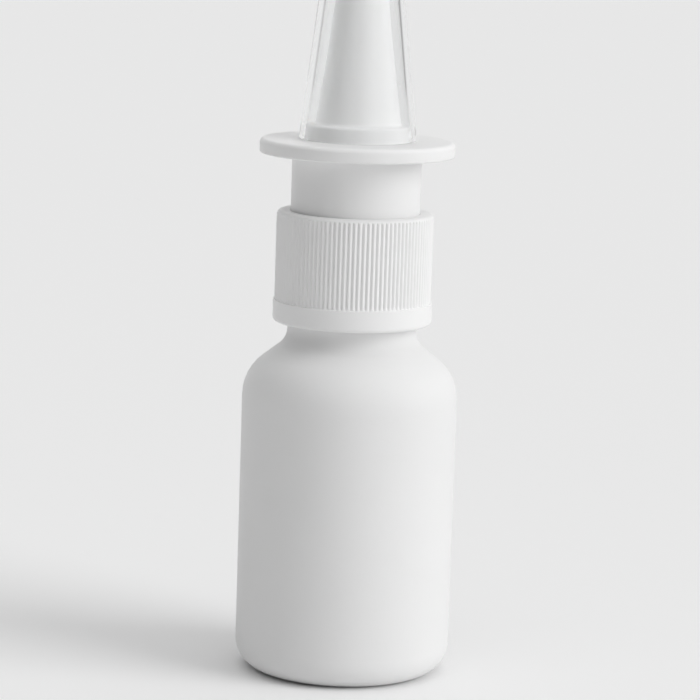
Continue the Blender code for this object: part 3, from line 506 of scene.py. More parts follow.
def closureShape(spec):
    webTop = skirtFoot - spec["travel"]
    webFoot = webTop - spec["webThickness"]
    ribFoot = closureFoot + spec["bandHeight"]
    ribTop = closureTop - spec["ribTopBelowCrown"]
    crest = spec["crestRadius"]
    seam = spec["seam"]
    ledge = crest + spec["ledge"]
    crownEdge = crest - spec["crownRound"] - spec["crownLand"]

    rows = [ribFoot + spec["ribEnd"] * share for share in spec["footRows"]]
    rows += [ribTop - spec["ribEnd"] * share for share in spec["topRows"]]
    outside = roundedOutline(
        [(ledge, ribFoot, 0), (crest, ribFoot, 0)] + [(crest, height, 0) for height in rows]
        + [(crest, closureTop, spec["crownRound"]), (crownEdge, closureTop, 0)],
        closed=False,
    )
    shape = bmesh.new()
    turn(shape, outside, spec["ribCount"] * spec["sidesPerRib"], closed=False)
    cleaned(shape)
    for vert in shape.verts:
        fromEnd = min(vert.co.z - ribFoot, ribTop - vert.co.z)
        if fromEnd > mergeDistance:
            radius = vert.co.xy.length
            phase = math.atan2(vert.co.y, vert.co.x) / math.tau * spec["ribCount"] - spec["ribShift"]
            vert.co.xy *= 1 - grooveDepth(spec, phase, fromEnd) / radius

    corners = [
        (spec["bore"], closureFoot, spec["edgeRound"]),
        (bandRadius, closureFoot, spec["bandRound"]),
        (bandRadius, ribFoot, spec["bandEdgeRound"]),
        (ledge + seam, ribFoot, 0),
        (crownEdge - seam, closureTop, 0),
        (spec["pocket"], closureTop, spec["pocketRound"]),
        (spec["pocket"], webTop, spec["webRound"]),
        (spec["webHole"], webTop, spec["webHoleRound"]),
        (spec["webHole"], webFoot, spec["webHoleRound"]),
        (spec["bore"], webFoot, spec["webRound"]),
    ]
    ridge = threadRidge(
        spec["bore"], bottle["neckRadius"] + screwThread["clearance"],
        closureFoot + screwThread["closureLip"] + screwThread["rootWidth"] / 2,
        screwThread["lagTurns"], screwThread["closureTurns"],
    )
    inside = joined(turnedShape(corners, spec["sides"]), [ridge])
    blank = []
    for face in inside.faces:
        middle = face.calc_center_median()
        if middle.xy.length > crownEdge - seam and 0 < (middle.z - ribFoot) / (closureTop - ribFoot) < 1:
            blank.append(face)
    bmesh.ops.delete(inside, geom=blank, context="FACES")
    rest = bpy.data.meshes.new("helper")
    inside.to_mesh(rest)
    inside.free()
    shape.from_mesh(rest)
    bpy.data.meshes.remove(rest)
    for height in (ribFoot, closureTop):
        rims = [
            edge for edge in shape.edges
            if edge.is_boundary and abs(edge.verts[0].co.z - height) < mergeDistance
        ]
        bmesh.ops.bridge_loops(shape, edges=rims)
    return cleaned(shape)


addPiece("ribbedClosure", closureShape(closure), closureWhite, "closure", "screw_closure")


# Actuator: skirt, finger flange, seat ring and hollow nozzle in one moulding

insertFoot, insertTop, insertRadius = extent("spray_insert")
capFoot, capTop, capRadius = extent("overcap")
coreFoot, coreTop, coreRadius = extent("nozzle_core")
stemFoot, stemTop, stemCollar = extent("stem")

actuator = {
    "skirtRadius": 8.97 * mm,
    "skirtWall": 1.0 * mm,
    "flangeThickness": 2.0 * mm,
    "flangeLowerRound": 0.28 * mm,
    "flangeUpperRound": 0.65 * mm,
    "roof": 1.1 * mm,
    "ringRadius": 7.35 * mm,
    "ringDraft": 0.15 * mm,
    "ringHeight": 2.2 * mm,
    "ringRound": 0.4 * mm,
    "nozzleRoot": 5.95 * mm,
    "nozzleTip": 3.05 * mm,
    "nozzleWaist": 0.16 * mm,  # how far the cone is drawn in halfway up
    "nozzleWall": 1.0 * mm,
    "noseHeight": 1.9 * mm,
    "noseLength": 7.5 * mm,
    "sideSteps": 16,
    "boreRadius": 1.35 * mm,
    "tubeWall": 0.9 * mm,
    "inletRadius": 0.8 * mm,
    "socketRadius": 2.0 * mm,
    "socketWall": 1.0 * mm,
    "socketGrip": 4.5 * mm,
    "bladeThickness": 0.7 * mm,
    "bladeRise": 2.0 * mm,
    "bladeHeight": 12.0 * mm,
    "rootFillet": 0.5 * mm,
    "cornerFillet": 0.3 * mm,
    "innerFillet": 0.4 * mm,
    "edgeRound": 0.25 * mm,
    "rimRound": 0.08 * mm,
    "boreRound": 0.1 * mm,
    "inletRound": 0.05 * mm,
    "noseLand": 1.5,  # flat rim round the insert, in slide gaps
    "noseSteps": 8,
    "blades": 4,
    "sides": 160,
    "gap": 0.3 * mm,
    "slideGap": 0.1 * mm,
}
flangeTop = capFoot - actuator["gap"]
ringTop = flangeTop + actuator["ringHeight"]
noseFoot = nozzleTop - actuator["noseHeight"]


def nozzleRadius(height):
    share = (height - ringTop) / (noseFoot - ringTop)
    cone = actuator["nozzleRoot"] + (actuator["nozzleTip"] - actuator["nozzleRoot"]) * share
    return cone - actuator["nozzleWaist"] * math.sin(math.pi * min(max(share, 0), 1))


def nozzleSide(low, high, inset, steps):
    # corners up the cone, without the first
    heights = [low + (high - low) * i / steps for i in range(1, steps + 1)]
    return [(nozzleRadius(height) - inset, height, 0) for height in heights]


def actuatorShape(spec):
    skirtBore = spec["skirtRadius"] - spec["skirtWall"]
    flangeFoot = flangeTop - spec["flangeThickness"]
    roof = flangeTop - spec["roof"]
    hollowTop = nozzleTop - spec["noseLength"]
    tubeRadius = spec["boreRadius"] + spec["tubeWall"]
    tubeFoot = coreFoot - spec["gap"]
    socketFoot = stemTop - spec["socketGrip"]
    socketTop = stemTop + spec["gap"]
    socketOuter = spec["socketRadius"] + spec["socketWall"]
    pocket = insertRadius + spec["slideGap"]
    pocketFoot = insertFoot - spec["gap"]
    noseWidth = spec["nozzleTip"] - pocket - spec["noseLand"] * spec["slideGap"]
    corners = [
        (skirtBore, skirtFoot, spec["edgeRound"]),
        (spec["skirtRadius"], skirtFoot, spec["edgeRound"]),
        (spec["skirtRadius"], flangeFoot, spec["cornerFillet"]),
        (flangeRadius, flangeFoot, spec["flangeLowerRound"]),
        (flangeRadius, flangeTop, spec["flangeUpperRound"]),
        (spec["ringRadius"], flangeTop, spec["cornerFillet"]),
        (spec["ringRadius"] - spec["ringDraft"], ringTop, spec["ringRound"]),
        (spec["nozzleRoot"], ringTop, spec["rootFillet"]),
    ]
    corners += nozzleSide(ringTop, noseFoot, 0, spec["sideSteps"])
    for i in range(1, spec["noseSteps"] + 1):  # the rounded nose
        angle = math.pi / 2 * i / spec["noseSteps"]
        radius = spec["nozzleTip"] - noseWidth * (1 - math.cos(angle))
        corners.append((radius, noseFoot + spec["noseHeight"] * math.sin(angle), 0))
    corners += [
        (pocket, nozzleTop, spec["rimRound"]),
        (pocket, pocketFoot, spec["boreRound"]),
        (spec["boreRadius"], pocketFoot, spec["boreRound"]),
        (spec["boreRadius"], tubeFoot, spec["boreRound"]),
        (spec["inletRadius"], tubeFoot, spec["inletRound"]),
        (spec["inletRadius"], socketTop, spec["inletRound"]),
        (spec["socketRadius"], socketTop, spec["boreRound"]),
        (spec["socketRadius"], socketFoot, spec["edgeRound"]),
        (socketOuter, socketFoot, spec["edgeRound"]),
        (socketOuter, coreFoot, spec["edgeRound"]),
        (tubeRadius, coreFoot + spec["socketWall"], spec["innerFillet"]),
        (tubeRadius, hollowTop, spec["cornerFillet"]),
        (nozzleRadius(hollowTop) - spec["nozzleWall"], hollowTop, spec["cornerFillet"]),
    ]
    corners += nozzleSide(hollowTop, roof, spec["nozzleWall"], spec["sideSteps"] // 2)[:-1]
    corners += [
        (nozzleRadius(roof) - spec["nozzleWall"], roof, spec["innerFillet"]),
        (skirtBore, roof, spec["innerFillet"]),
    ]
    bladeFoot = coreFoot + spec["socketWall"] + spec["bladeRise"]
    bladeTop = bladeFoot + spec["bladeHeight"]
    inner = tubeRadius - spec["tubeWall"] / 2
    side = [(inner, bladeFoot), (inner, bladeTop)]
    side += [(nozzleRadius(height) - spec["nozzleWall"] / 2, height) for height in (bladeTop, bladeFoot)]
    blades = plateShape(side, spec["bladeThickness"], spec["blades"])
    return joined(turnedShape(corners, spec["sides"]), [blades])


addPiece("flangedNozzle", actuatorShape(actuator), actuatorWhite, "actuator", "actuator")


# Spray insert and the grooved rod below it

insert = {
    "wall": 0.5 * mm,
    "face": 0.6 * mm,
    "orifice": 0.2 * mm,
    "flare": 0.25 * mm,
    "rimRound": 0.08 * mm,
    "edgeRound": 0.12 * mm,
    "flareRound": 0.06 * mm,
    "throatRound": 0.05 * mm,
    "inletRound": 0.04 * mm,
    "hollowRound": 0.1 * mm,
    "hold": 0.15 * mm,
}


def insertShape(spec):
    hollow = insertRadius - spec["wall"]
    hollowTop = insertTop - spec["face"]
    corners = [
        (hollow, insertFoot, spec["rimRound"]),
        (insertRadius, insertFoot, spec["edgeRound"]),
        (insertRadius, insertTop, spec["edgeRound"]),
        (spec["orifice"] + spec["flare"], insertTop, spec["flareRound"]),
        (spec["orifice"], insertTop - spec["flare"], spec["throatRound"]),
        (spec["orifice"], hollowTop, spec["inletRound"]),
        (hollow, hollowTop, spec["hollowRound"]),
    ]
    return turnedShape(corners, hold=spec["hold"])


addPiece("orificeInsert", insertShape(insert), actuatorWhite, "actuator", "spray_insert")

core = {
    "neckRadius": 1.1 * mm,
    "grooves": 3,
    "grooveWidth": 0.5 * mm,
    "grooveDepth": 0.25 * mm,
    "over": 0.6 * mm,  # how far a cut goes past the rod
    "footRound": 0.15 * mm,
    "shoulderRound": 0.05 * mm,
    "neckFillet": 0.04 * mm,
    "tipRound": 0.12 * mm,
    "sides": 72,
}


def coreShape(spec):
    shoulder = insertFoot - actuator["gap"]
    corners = [
        (0, coreFoot, 0),
        (coreRadius, coreFoot, spec["footRound"]),
        (coreRadius, shoulder, spec["shoulderRound"]),
        (spec["neckRadius"], shoulder, spec["neckFillet"]),
        (spec["neckRadius"], coreTop, spec["tipRound"]),
        (0, coreTop, 0),
    ]
    inner = coreRadius - spec["grooveDepth"]
    outer = coreRadius + spec["over"]
    low, high = coreFoot - spec["over"], coreTop + spec["over"]
    side = [(inner, low), (outer, low), (outer, high), (inner, high)]
    grooves = plateShape(side, spec["grooveWidth"], spec["grooves"])
    return joined(turnedShape(corners, spec["sides"], fineHold), [grooves], "DIFFERENCE")


addPiece("groovedRod", coreShape(core), naturalPlastic, "actuator", "nozzle_core")


# Clear overcap: a tapered wall that gets thinner towards its foot, and a rounded top

overcap = {
    "wall": 1.0 * mm,
    "footGap": 0.25 * mm,  # how far the foot reaches down to rest on the flange
    "footWall": 0.65 * mm,  # thinner where the foot goes over the seat ring
    "stepAbove": 0.3 * mm,  # from the ring's top up to where the bore narrows
    "stepRise": 5.0 * mm,  # over which the wall gets its full thickness
    "stepRound": 12.0 * mm,
    "topRadius": 5.0 * mm,
    "topRound": 2.6 * mm,
    "footRound": 0.18 * mm,
    "sides": 192,
    "hold": 0.5 * mm,
}


def overcapShape(spec):
    foot = capFoot - spec["footGap"]
    slope = (capRadius - spec["topRadius"]) / (capTop - spec["topRound"] - capFoot)
    roof = capTop - spec["wall"]

    def outer(height):
        return capRadius - slope * max(height - capFoot, 0)

    step = ringTop + spec["stepAbove"]
    narrowed = step + spec["stepRise"]
    corners = [
        (0, roof, 0),
        (outer(roof) - spec["wall"], roof, spec["topRound"] - spec["wall"]),
        (outer(narrowed) - spec["wall"], narrowed, spec["stepRound"]),
        (outer(step) - spec["footWall"], step, spec["stepRound"]),
        (outer(foot) - spec["footWall"], foot, spec["footRound"]),
        (outer(foot), foot, spec["footRound"]),
        (outer(capTop), capTop, spec["topRound"]),
        (0, capTop, 0),
    ]
    return turnedShape(corners, spec["sides"], spec["hold"])


addPiece("clearOvercap", overcapShape(overcap), overcapClear, "overcap", "overcap")


# Seals

washer = {
    "gasketHole": 4.0 * mm,
    "sealHole": 2.0 * mm,
    "bead": 0.06 * mm,
    "beadSpread": 3,  # half the bead's width, in bead heights
    "beadRound": 0.1 * mm,
    "beadFootRound": 0.05 * mm,
    "edgeRound": 0.12 * mm,
    "sides": 128,
}


def washerShape(node, inner, spec):
    # a flat ring with a low bead round the middle of each face
    low, high, outer = extent(node)
    middle = (inner + outer) / 2
    bead = spec["bead"]
    half = spec["beadSpread"] * bead
    face = [
        (inner, bead, spec["edgeRound"]),
        (middle - half, bead, spec["beadFootRound"]),
        (middle, 0, spec["beadRound"]),
        (middle + half, bead, spec["beadFootRound"]),
        (outer, bead, spec["edgeRound"]),
    ]
    corners = [(radius, low + depth, fillet) for radius, depth, fillet in face]
    corners += [(radius, high - depth, fillet) for radius, depth, fillet in reversed(face)]
    return turnedShape(corners, spec["sides"], fineHold)


gasketShape = washerShape("neck_gasket", washer["gasketHole"], washer)
addPiece("neckGasket", gasketShape, sealRubber, "pump_unit", "neck_gasket")
sealShape = washerShape("stem_seal", washer["sealHole"], washer)
addPiece("stemSeal", sealShape, sealRubber, "pump_unit", "stem_seal")


# Pump housing with its snap head, flange, piston bore, ball chamber and dip tube socket

housingFoot, housingTop, housingFlange = extent("pump_housing")
gasketTop = extent("neck_gasket")[1]
cageFoot, cageTop, cageRadius = extent("ball_cage")
dipFoot, dipTop, dipRadius = extent("dip_tube")
turretFoot, turretTop, turretFlangeRadius = extent("turret")
ballLow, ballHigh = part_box("check_ball")
ballMiddle = (ballLow + ballHigh) / 2
ballRadius = (ballHigh.z - ballLow.z) / 2

pump = {
    "gap": 0.3 * mm,
    "slideGap": 0.1 * mm,
    "boreRadius": 3.0 * mm,
    "cylinderWall": 0.9 * mm,
    "flangeThickness": 0.8 * mm,
    "headRadius": 4.6 * mm,
    "bead": 0.15 * mm,
    "beadHeight": 0.5 * mm,
    "beadRound": 0.12 * mm,
    "beadFootRound": 0.1 * mm,
    "tailWall": 0.9 * mm,
    "chamberRoom": 0.3 * mm,
    "inletRadius": 0.7 * mm,
    "inletLength": 0.8 * mm,
    "ventRadius": 0.4 * mm,
    "ventDrop": 1.2 * mm,
    "ventRod": 3.0 * mm,  # length of the rod that cuts it
    "edgeRound": 0.12 * mm,
    "fineRound": 0.1 * mm,
    "inletRound": 0.05 * mm,
    "rimRound": 0.08 * mm,
    "tailRound": 0.6 * mm,
    "flangeFillet": 0.3 * mm,
    "headFillet": 0.15 * mm,
    "headRound": 0.3 * mm,
    "mouthRound": 0.2 * mm,
    "turretWall": 0.9 * mm,
    "turretFlange": 0.7 * mm,
    "turretRoof": 0.9 * mm,
    "turretEdge": 0.4 * mm,
    "turretFillet": 0.25 * mm,
    "turretInnerRound": 0.2 * mm,
    "turretSides": 128,
    "stemHole": 2.0 * mm,
    "holeRound": 0.15 * mm,
    "cageHole": 0.75 * mm,
    "cagePort": 0.35 * mm,
    "cagePorts": 3,
    "cageRod": 2.0 * mm,
}
housingFlangeFoot = gasketTop + pump["gap"]
housingFlangeTop = housingFlangeFoot + pump["flangeThickness"]
beadMiddle = (turretFoot + pump["turretFlange"] + housingTop) / 2
acrossRod = Matrix.Rotation(math.radians(90), 4, "Y")


def snapBead(radius, stand, direction):
    # a round bead, or the groove for it, on an upright wall
    half = direction * pump["beadHeight"] / 2
    return [
        (radius, beadMiddle - half, pump["beadFootRound"]),
        (radius + stand, beadMiddle, pump["beadRound"]),
        (radius, beadMiddle + half, pump["beadFootRound"]),
    ]


def housingShape(spec):
    edge = spec["edgeRound"]
    outer = spec["boreRadius"] + spec["cylinderWall"]
    ledge = cageFoot - spec["gap"]
    chamber = ballRadius + spec["chamberRoom"]
    socket = dipRadius + spec["slideGap"]
    tail = chamber + spec["tailWall"]
    socketTop = dipTop + spec["gap"]
    seatFoot = socketTop + spec["inletLength"]
    seatTop = seatFoot + chamber - spec["inletRadius"]
    taperFoot = ledge - spec["cylinderWall"]
    corners = [
        (socket, housingFoot, edge),
        (tail, housingFoot, edge),
        (tail, taperFoot, spec["tailRound"]),
        (outer, taperFoot + outer - tail, spec["tailRound"]),
        (outer, housingFlangeFoot, spec["flangeFillet"]),
        (housingFlange, housingFlangeFoot, edge),
        (housingFlange, housingFlangeTop, edge),
        (spec["headRadius"], housingFlangeTop, spec["headFillet"]),
        *snapBead(spec["headRadius"], spec["bead"], 1),
        (spec["headRadius"], housingTop, spec["headRound"]),
        (spec["boreRadius"], housingTop, spec["mouthRound"]),
        (spec["boreRadius"], ledge, spec["fineRound"]),
        (chamber, ledge, spec["fineRound"]),
        (chamber, seatTop, spec["fineRound"]),
        (spec["inletRadius"], seatFoot, spec["inletRound"]),
        (spec["inletRadius"], socketTop, spec["inletRound"]),
        (socket, socketTop, spec["rimRound"]),
    ]
    ventMiddle = (outer, 0, housingFlangeFoot - spec["ventDrop"])
    vent = rodShape(spec["ventRadius"], spec["ventRod"], ventMiddle, acrossRod)
    return joined(turnedShape(corners), [vent], "DIFFERENCE")


addPiece("pumpHousing", housingShape(pump), naturalPlastic, "pump_unit", "pump_housing")


def turretShape(spec):
    bore = spec["headRadius"] + spec["slideGap"]
    outer = bore + spec["bead"] + spec["turretWall"]
    flangeRise = turretFoot + spec["turretFlange"]
    roof = turretTop - spec["turretRoof"]
    corners = [
        (bore, turretFoot, spec["turretInnerRound"]),
        (turretFlangeRadius, turretFoot, spec["edgeRound"]),
        (turretFlangeRadius, flangeRise, spec["edgeRound"]),
        (outer, flangeRise, spec["turretFillet"]),
        (outer, turretTop, spec["turretEdge"]),
        (spec["stemHole"], turretTop, spec["holeRound"]),
        (spec["stemHole"], roof, spec["fineRound"]),
        (bore, roof, spec["turretInnerRound"]),
        *snapBead(bore, spec["bead"], -1),
    ]
    return turnedShape(corners, spec["turretSides"])


addPiece("pumpTurret", turretShape(pump), naturalPlastic, "pump_unit", "turret")


def cageShape(spec):
    corners = [
        (spec["cageHole"], cageFoot, spec["rimRound"]),
        (cageRadius, cageFoot, spec["fineRound"]),
        (cageRadius, cageTop, spec["fineRound"]),
        (spec["cageHole"], cageTop, spec["holeRound"]),
    ]
    reach = ballRadius + spec["chamberRoom"] - spec["cagePort"] / 2
    middle = Vector((reach, 0, (cageFoot + cageTop) / 2))
    turns = [Matrix.Rotation(math.tau * i / spec["cagePorts"], 3, "Z") for i in range(spec["cagePorts"])]
    ports = [rodShape(spec["cagePort"], spec["cageRod"], about @ middle) for about in turns]
    return joined(turnedShape(corners, hold=fineHold), ports, "DIFFERENCE")


addPiece("ballCage", cageShape(pump), naturalPlastic, "pump_unit", "ball_cage")


# Dip tube with its slanted foot

dipTube = {"bore": 0.75 * mm, "bevel": 1.2 * mm, "rim": 0.05 * mm, "sides": 64, "hold": 0.9 * mm}


def dipTubeShape(spec):
    middle = dipFoot + spec["bevel"] / 2
    corners = [
        (spec["bore"], middle, spec["rim"]),
        (dipRadius, middle, spec["rim"]),
        (dipRadius, dipTop, spec["rim"]),
        (spec["bore"], dipTop, spec["rim"]),
    ]
    shape = turnedShape(corners, spec["sides"], spec["hold"])
    for vert in shape.verts:
        if vert.co.z < middle + 2 * spec["rim"]:  # the foot is cut at a slant
            vert.co.z += spec["bevel"] / 2 * vert.co.x / dipRadius
    return shape


addPiece("dipTube", dipTubeShape(dipTube), tubePlastic, "pump_unit", "dip_tube")


# Check ball

ballSubdivisions = 5


def ballShape():
    shape = bmesh.new()
    bmesh.ops.create_icosphere(
        shape, subdivisions=ballSubdivisions, radius=ballRadius, matrix=Matrix.Translation(ballMiddle)
    )
    return shape


addPiece("checkBall", ballShape(), ballSteel, "ball", "check_ball")


# Stem and the piston that slips on it

pistonFoot, pistonTop, pistonRadius = extent("piston")
valveFoot, valveTop = extent("valve_spring")[:2]

stem = {
    "radius": 1.9 * mm,
    "bore": 0.8 * mm,
    "waist": 1.5 * mm,
    "collar": 0.8 * mm,
    "foot": 0.7 * mm,
    "spigotRadius": 2.2 * mm,
    "spigot": 1.2 * mm,
    "portRadius": 0.3 * mm,
    "portRod": 5.0 * mm,
    "stroke": 4.0 * mm,
    "slip": 0.5 * mm,
    "tipRound": 0.3 * mm,
    "footFillet": 0.08 * mm,
    "footRound": 0.1 * mm,
    "collarFillet": 0.12 * mm,
    "collarRound": 0.15 * mm,
    "topRound": 0.2 * mm,
    "boreRound": 0.2 * mm,
    "mouthRound": 0.12 * mm,
}
piston = {
    "lip": 0.7 * mm,
    "waist": 0.4 * mm,
    "flare": 0.06 * mm,
    "edge": 0.1 * mm,
    "lipRound": 0.05 * mm,
    "waistRound": 0.15 * mm,
}


def stemShape(spec):
    footLow = stemFoot + spec["spigot"]
    footTop = footLow + spec["foot"]
    collarFoot = valveTop + pump["gap"]
    collarTop = collarFoot + spec["collar"]
    corners = [
        (0, stemFoot, 0),
        (spec["spigotRadius"], stemFoot, spec["tipRound"]),
        (spec["spigotRadius"], footLow, spec["footFillet"]),
        (stemCollar, footLow, spec["footRound"]),
        (stemCollar, footTop, spec["footRound"]),
        (spec["waist"], footTop, spec["footFillet"]),
        (spec["waist"], collarFoot, spec["collarFillet"]),
        (stemCollar, collarFoot, spec["footRound"]),
        (stemCollar, collarTop, spec["collarRound"]),
        (spec["radius"], collarTop, spec["collarFillet"]),
        (spec["radius"], stemTop, spec["topRound"]),
        (spec["bore"], stemTop, spec["mouthRound"]),
        (spec["bore"], footTop, spec["boreRound"]),
        (0, footTop, 0),
    ]
    height = pistonFoot + spec["slip"] / 2 + spec["portRadius"]
    ports = rodShape(spec["portRadius"], spec["portRod"], (0, 0, height), acrossRod)
    return joined(turnedShape(corners), [ports], "DIFFERENCE")


def pistonShape(spec):
    inner = stem["waist"] + pump["slideGap"]
    waist = pistonRadius - spec["waist"]
    lip = pistonRadius - spec["flare"]
    corners = [
        (inner, pistonFoot, spec["edge"]),
        (pistonRadius, pistonFoot, spec["lipRound"]),
        (lip, pistonFoot + spec["lip"], spec["edge"]),
        (waist, pistonFoot + spec["lip"], spec["waistRound"]),
        (waist, pistonTop - spec["lip"], spec["waistRound"]),
        (lip, pistonTop - spec["lip"], spec["edge"]),
        (pistonRadius, pistonTop, spec["lipRound"]),
        (inner, pistonTop, spec["edge"]),
    ]
    return turnedShape(corners, hold=fineHold)


addPiece("pumpStem", stemShape(stem), naturalPlastic, "stem", "stem")
addPiece("pumpPiston", pistonShape(piston), naturalPlastic, "piston", "piston")


# Springs: round wire with a closed coil at each end

spring = {"wireSides": 12, "stepsPerTurn": 48, "closedGap": 0.03 * mm}
returnCoil = {"wire": 0.25 * mm, "turns": 7}
valveCoil = {"wire": 0.2 * mm, "turns": 4}


def springShape(node, coil):
    low, high, outer = extent(node)
    wire = coil["wire"]
    shape = bmesh.new()
    middle = Matrix.Translation((outer - wire, 0, low + wire)) @ Matrix.Rotation(math.pi / 2, 4, "X")
    bmesh.ops.create_circle(shape, cap_ends=True, segments=spring["wireSides"], radius=wire, matrix=middle)
    closedRise = 2 * wire + spring["closedGap"]
    openRise = high - low - 2 * wire - 2 * closedRise
    geom = shape.faces[:]
    for turns, rise in ((1, closedRise), (coil["turns"] - 2, openRise), (1, closedRise)):
        steps = turns * spring["stepsPerTurn"]
        geom = bmesh.ops.spin(
            shape, geom=geom, cent=(0, 0, 0), axis=(0, 0, 1), angle=math.tau * turns, steps=steps,
            dvec=(0, 0, rise / steps),
        )["geom_last"]
    return cleaned(shape)


returnSpring = addPiece(
    "returnSpring", springShape("return_spring", returnCoil), springSteel, "pump_unit",
    "return_spring",
)
valveSpring = addPiece(
    "valveSpring", springShape("valve_spring", valveCoil), springSteel, "stem",
    "valve_spring",
)
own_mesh(returnSpring)
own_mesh(valveSpring)


# Floor, background, light and camera

studio = {
    "backdrop": 0.807,  # what the sky shows in mirrors and glass
    "ambient": 0.11,
    "topLight": 1.03,  # a wide soft light overhead
    "topStart": 0.5,  # height of a direction of length 1
    "topFull": 0.9,
    "covered": 0.1,  # more light from all sides for what lies under the overcap
    "guideRim": 30.0,  # what the overcap's wall guides on from the back left
    "guideRimAzimuth": math.radians(-138),
    "guideKey": 1.25,  # and from the lamp's side
    "guideStart": 0.87,  # cosine of the angle to that side
    "guideFull": 0.97,
    "floorSeen": 0.948,  # the floor is also the photo's background
    "floorBounce": 0.9,
    "floorSize": 6.0,
    "floorRoughness": 0.9,
    "floorSpecular": 0.1,
    "flagStart": 0.6,  # dark flags to both sides draw the edges of the clear overcap
    "flagFull": 0.74,
    "flagRight": 0.35,
    "flagLeft": 0.6,
    "keyStrength": 1.68,
    "keySpread": math.radians(40),
    "keyAzimuth": math.radians(66),  # to the right of the camera
    "keyElevation": math.radians(25),
}
view = {
    "place": (-0.00013, -0.45, 0.118),
    "pitch": math.radians(9.183),  # down
    "lean": math.radians(1.85),
    "lens": 168.2,
    "sensor": 36.0,
    "clipStart": 0.01,
    "clipEnd": 50,
}
noBounce = 0.5  # a count of bounces below this is 0


def stepNode(tree, value, start, full, low, high):
    # a smooth step from low to high
    step = tree.nodes.new("ShaderNodeMapRange")
    step.interpolation_type = "SMOOTHSTEP"
    for socket, number in (("From Min", start), ("From Max", full), ("To Min", low), ("To Max", high)):
        step.inputs[socket].default_value = number
    tree.links.new(value, step.inputs["Value"])
    return step.outputs["Result"]


def raysSeen(tree):
    # 1 for what the camera sees, also in a mirror or through glass, and 0 for light that a matt surface
    # gathers, beside the ray's own facts
    path = tree.nodes.new("ShaderNodeLightPath")
    seen = mathNode(tree, "MAXIMUM", path.outputs["Is Camera Ray"], path.outputs["Is Glossy Ray"])
    seen = mathNode(tree, "MAXIMUM", seen, path.outputs["Is Transmission Ray"])
    direct = mathNode(tree, "LESS_THAN", path.outputs["Diffuse Depth"], noBounce)
    return mathNode(tree, "MULTIPLY", seen, direct), path


def aimed(azimuth, elevation):
    # azimuth to the right of the camera, elevation up
    level = math.cos(elevation)
    return Vector((level * math.sin(azimuth), -level * math.cos(azimuth), math.sin(elevation)))


def makeFloor(spec):
    shape = bmesh.new()
    bmesh.ops.create_grid(shape, x_segments=1, y_segments=1, size=spec["floorSize"] / 2)
    mesh = bpy.data.meshes.new("studioFloor")
    shape.to_mesh(mesh)
    shape.free()
    floor = bpy.data.objects.new("studioFloor", mesh)
    bpy.context.scene.collection.objects.link(floor)
    material = bpy.data.materials.new("paleFloor")
    material.use_nodes = True
    tree = material.node_tree
    shader = tree.nodes["Principled BSDF"]
    shader.inputs["Roughness"].default_value = spec["floorRoughness"]
    shader.inputs["Specular IOR Level"].default_value = spec["floorSpecular"]
    tone = tree.nodes.new("ShaderNodeMix")
    tone.data_type = "RGBA"
    tone.inputs["A"].default_value = (*[spec["floorBounce"]] * 3, 1)
    tone.inputs["B"].default_value = (*[spec["floorSeen"]] * 3, 1)
    tree.links.new(raysSeen(tree)[0], tone.inputs["Factor"])
    tree.links.new(tone.outputs["Result"], shader.inputs["Base Color"])
    mesh.materials.append(material)


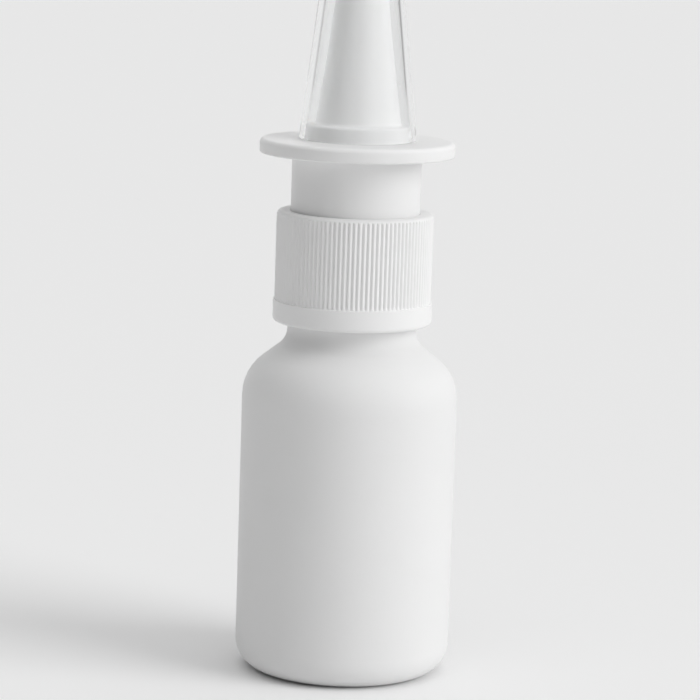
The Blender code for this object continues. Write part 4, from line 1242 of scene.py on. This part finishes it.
def makeWorld(spec):
    world = bpy.data.worlds.new("studio")
    bpy.context.scene.world = world
    world.use_nodes = True
    tree = world.node_tree
    ambient = tree.nodes["Background"]
    ambient.inputs["Color"].default_value = (1, 1, 1, 1)
    seen, path = raysSeen(tree)
    backdrop = tree.nodes.new("ShaderNodeBackground")
    backdrop.inputs["Color"].default_value = (*[spec["backdrop"]] * 3, 1)
    direction = tree.nodes.new("ShaderNodeTexCoord")
    parts = tree.nodes.new("ShaderNodeSeparateXYZ")
    tree.links.new(direction.outputs["Generated"], parts.inputs["Vector"])
    # the overcap's wall guides light on to what it covers
    guided = spec["covered"]
    for toLight, gain in (
        (aimed(spec["guideRimAzimuth"], 0), spec["guideRim"]),
        (aimed(spec["keyAzimuth"], spec["keyElevation"]), spec["guideKey"]),
    ):
        nearness = tree.nodes.new("ShaderNodeVectorMath")
        nearness.operation = "DOT_PRODUCT"
        nearness.inputs[1].default_value = toLight
        tree.links.new(direction.outputs["Generated"], nearness.inputs[0])
        guide = stepNode(tree, nearness.outputs["Value"], spec["guideStart"], spec["guideFull"], 0.0, gain)
        guided = mathNode(tree, "ADD", guide, guided)
    guided = mathNode(tree, "MULTIPLY", guided, path.outputs["Is Transmission Ray"])
    level = spec["ambient"]
    full = level + spec["topLight"]
    top = stepNode(tree, parts.outputs["Z"], spec["topStart"], spec["topFull"], level, full)
    tree.links.new(mathNode(tree, "ADD", top, guided), ambient.inputs["Strength"])
    # the flags are for what is seen through glass only
    plain = mathNode(tree, "LESS_THAN", path.outputs["Transmission Depth"], noBounce)
    flags = 1.0
    for side, tone in ((1, spec["flagRight"]), (-1, spec["flagLeft"])):
        outward = mathNode(tree, "MULTIPLY", parts.outputs["X"], side)
        flag = stepNode(tree, outward, spec["flagStart"], spec["flagFull"], 1.0, tone)
        flags = mathNode(tree, "MULTIPLY", flag, flags)
    tree.links.new(mathNode(tree, "MAXIMUM", plain, flags), backdrop.inputs["Strength"])
    mix = tree.nodes.new("ShaderNodeMixShader")
    tree.links.new(seen, mix.inputs["Fac"])
    tree.links.new(ambient.outputs["Background"], mix.inputs[1])
    tree.links.new(backdrop.outputs["Background"], mix.inputs[2])
    tree.links.new(mix.outputs["Shader"], tree.nodes["World Output"].inputs["Surface"])


def makeKey(spec):
    lamp = bpy.data.lights.new("softKey", "SUN")
    lamp.energy = spec["keyStrength"]
    lamp.angle = spec["keySpread"]
    key = bpy.data.objects.new("softKey", lamp)
    toLamp = aimed(spec["keyAzimuth"], spec["keyElevation"])
    key.matrix_world = toLamp.to_track_quat("Z", "Y").to_matrix().to_4x4()
    key.visible_transmission = False  # its light goes through the overcap as shadow rays, and only once
    key.visible_glossy = False  # a highlight of the lamp on the overcap would hide the nozzle
    bpy.context.scene.collection.objects.link(key)


def makeCamera(spec):
    lens = bpy.data.cameras.new("camera")
    lens.lens = spec["lens"]
    lens.sensor_width = spec["sensor"]
    lens.clip_start = spec["clipStart"]
    lens.clip_end = spec["clipEnd"]
    camera = bpy.data.objects.new("camera", lens)
    back = Vector((0, -math.cos(spec["pitch"]), math.sin(spec["pitch"])))
    level = Vector((1, 0, 0))
    rise = back.cross(level)
    right = level * math.cos(spec["lean"]) + rise * math.sin(spec["lean"])
    turned = Matrix((right, back.cross(right), back)).transposed().to_4x4()
    camera.matrix_world = Matrix.Translation(spec["place"]) @ turned
    bpy.context.scene.collection.objects.link(camera)
    bpy.context.scene.camera = camera


makeFloor(studio)
makeWorld(studio)
makeKey(studio)
makeCamera(view)
bpy.context.scene.view_settings.view_transform = "Standard"
print("studio ready")
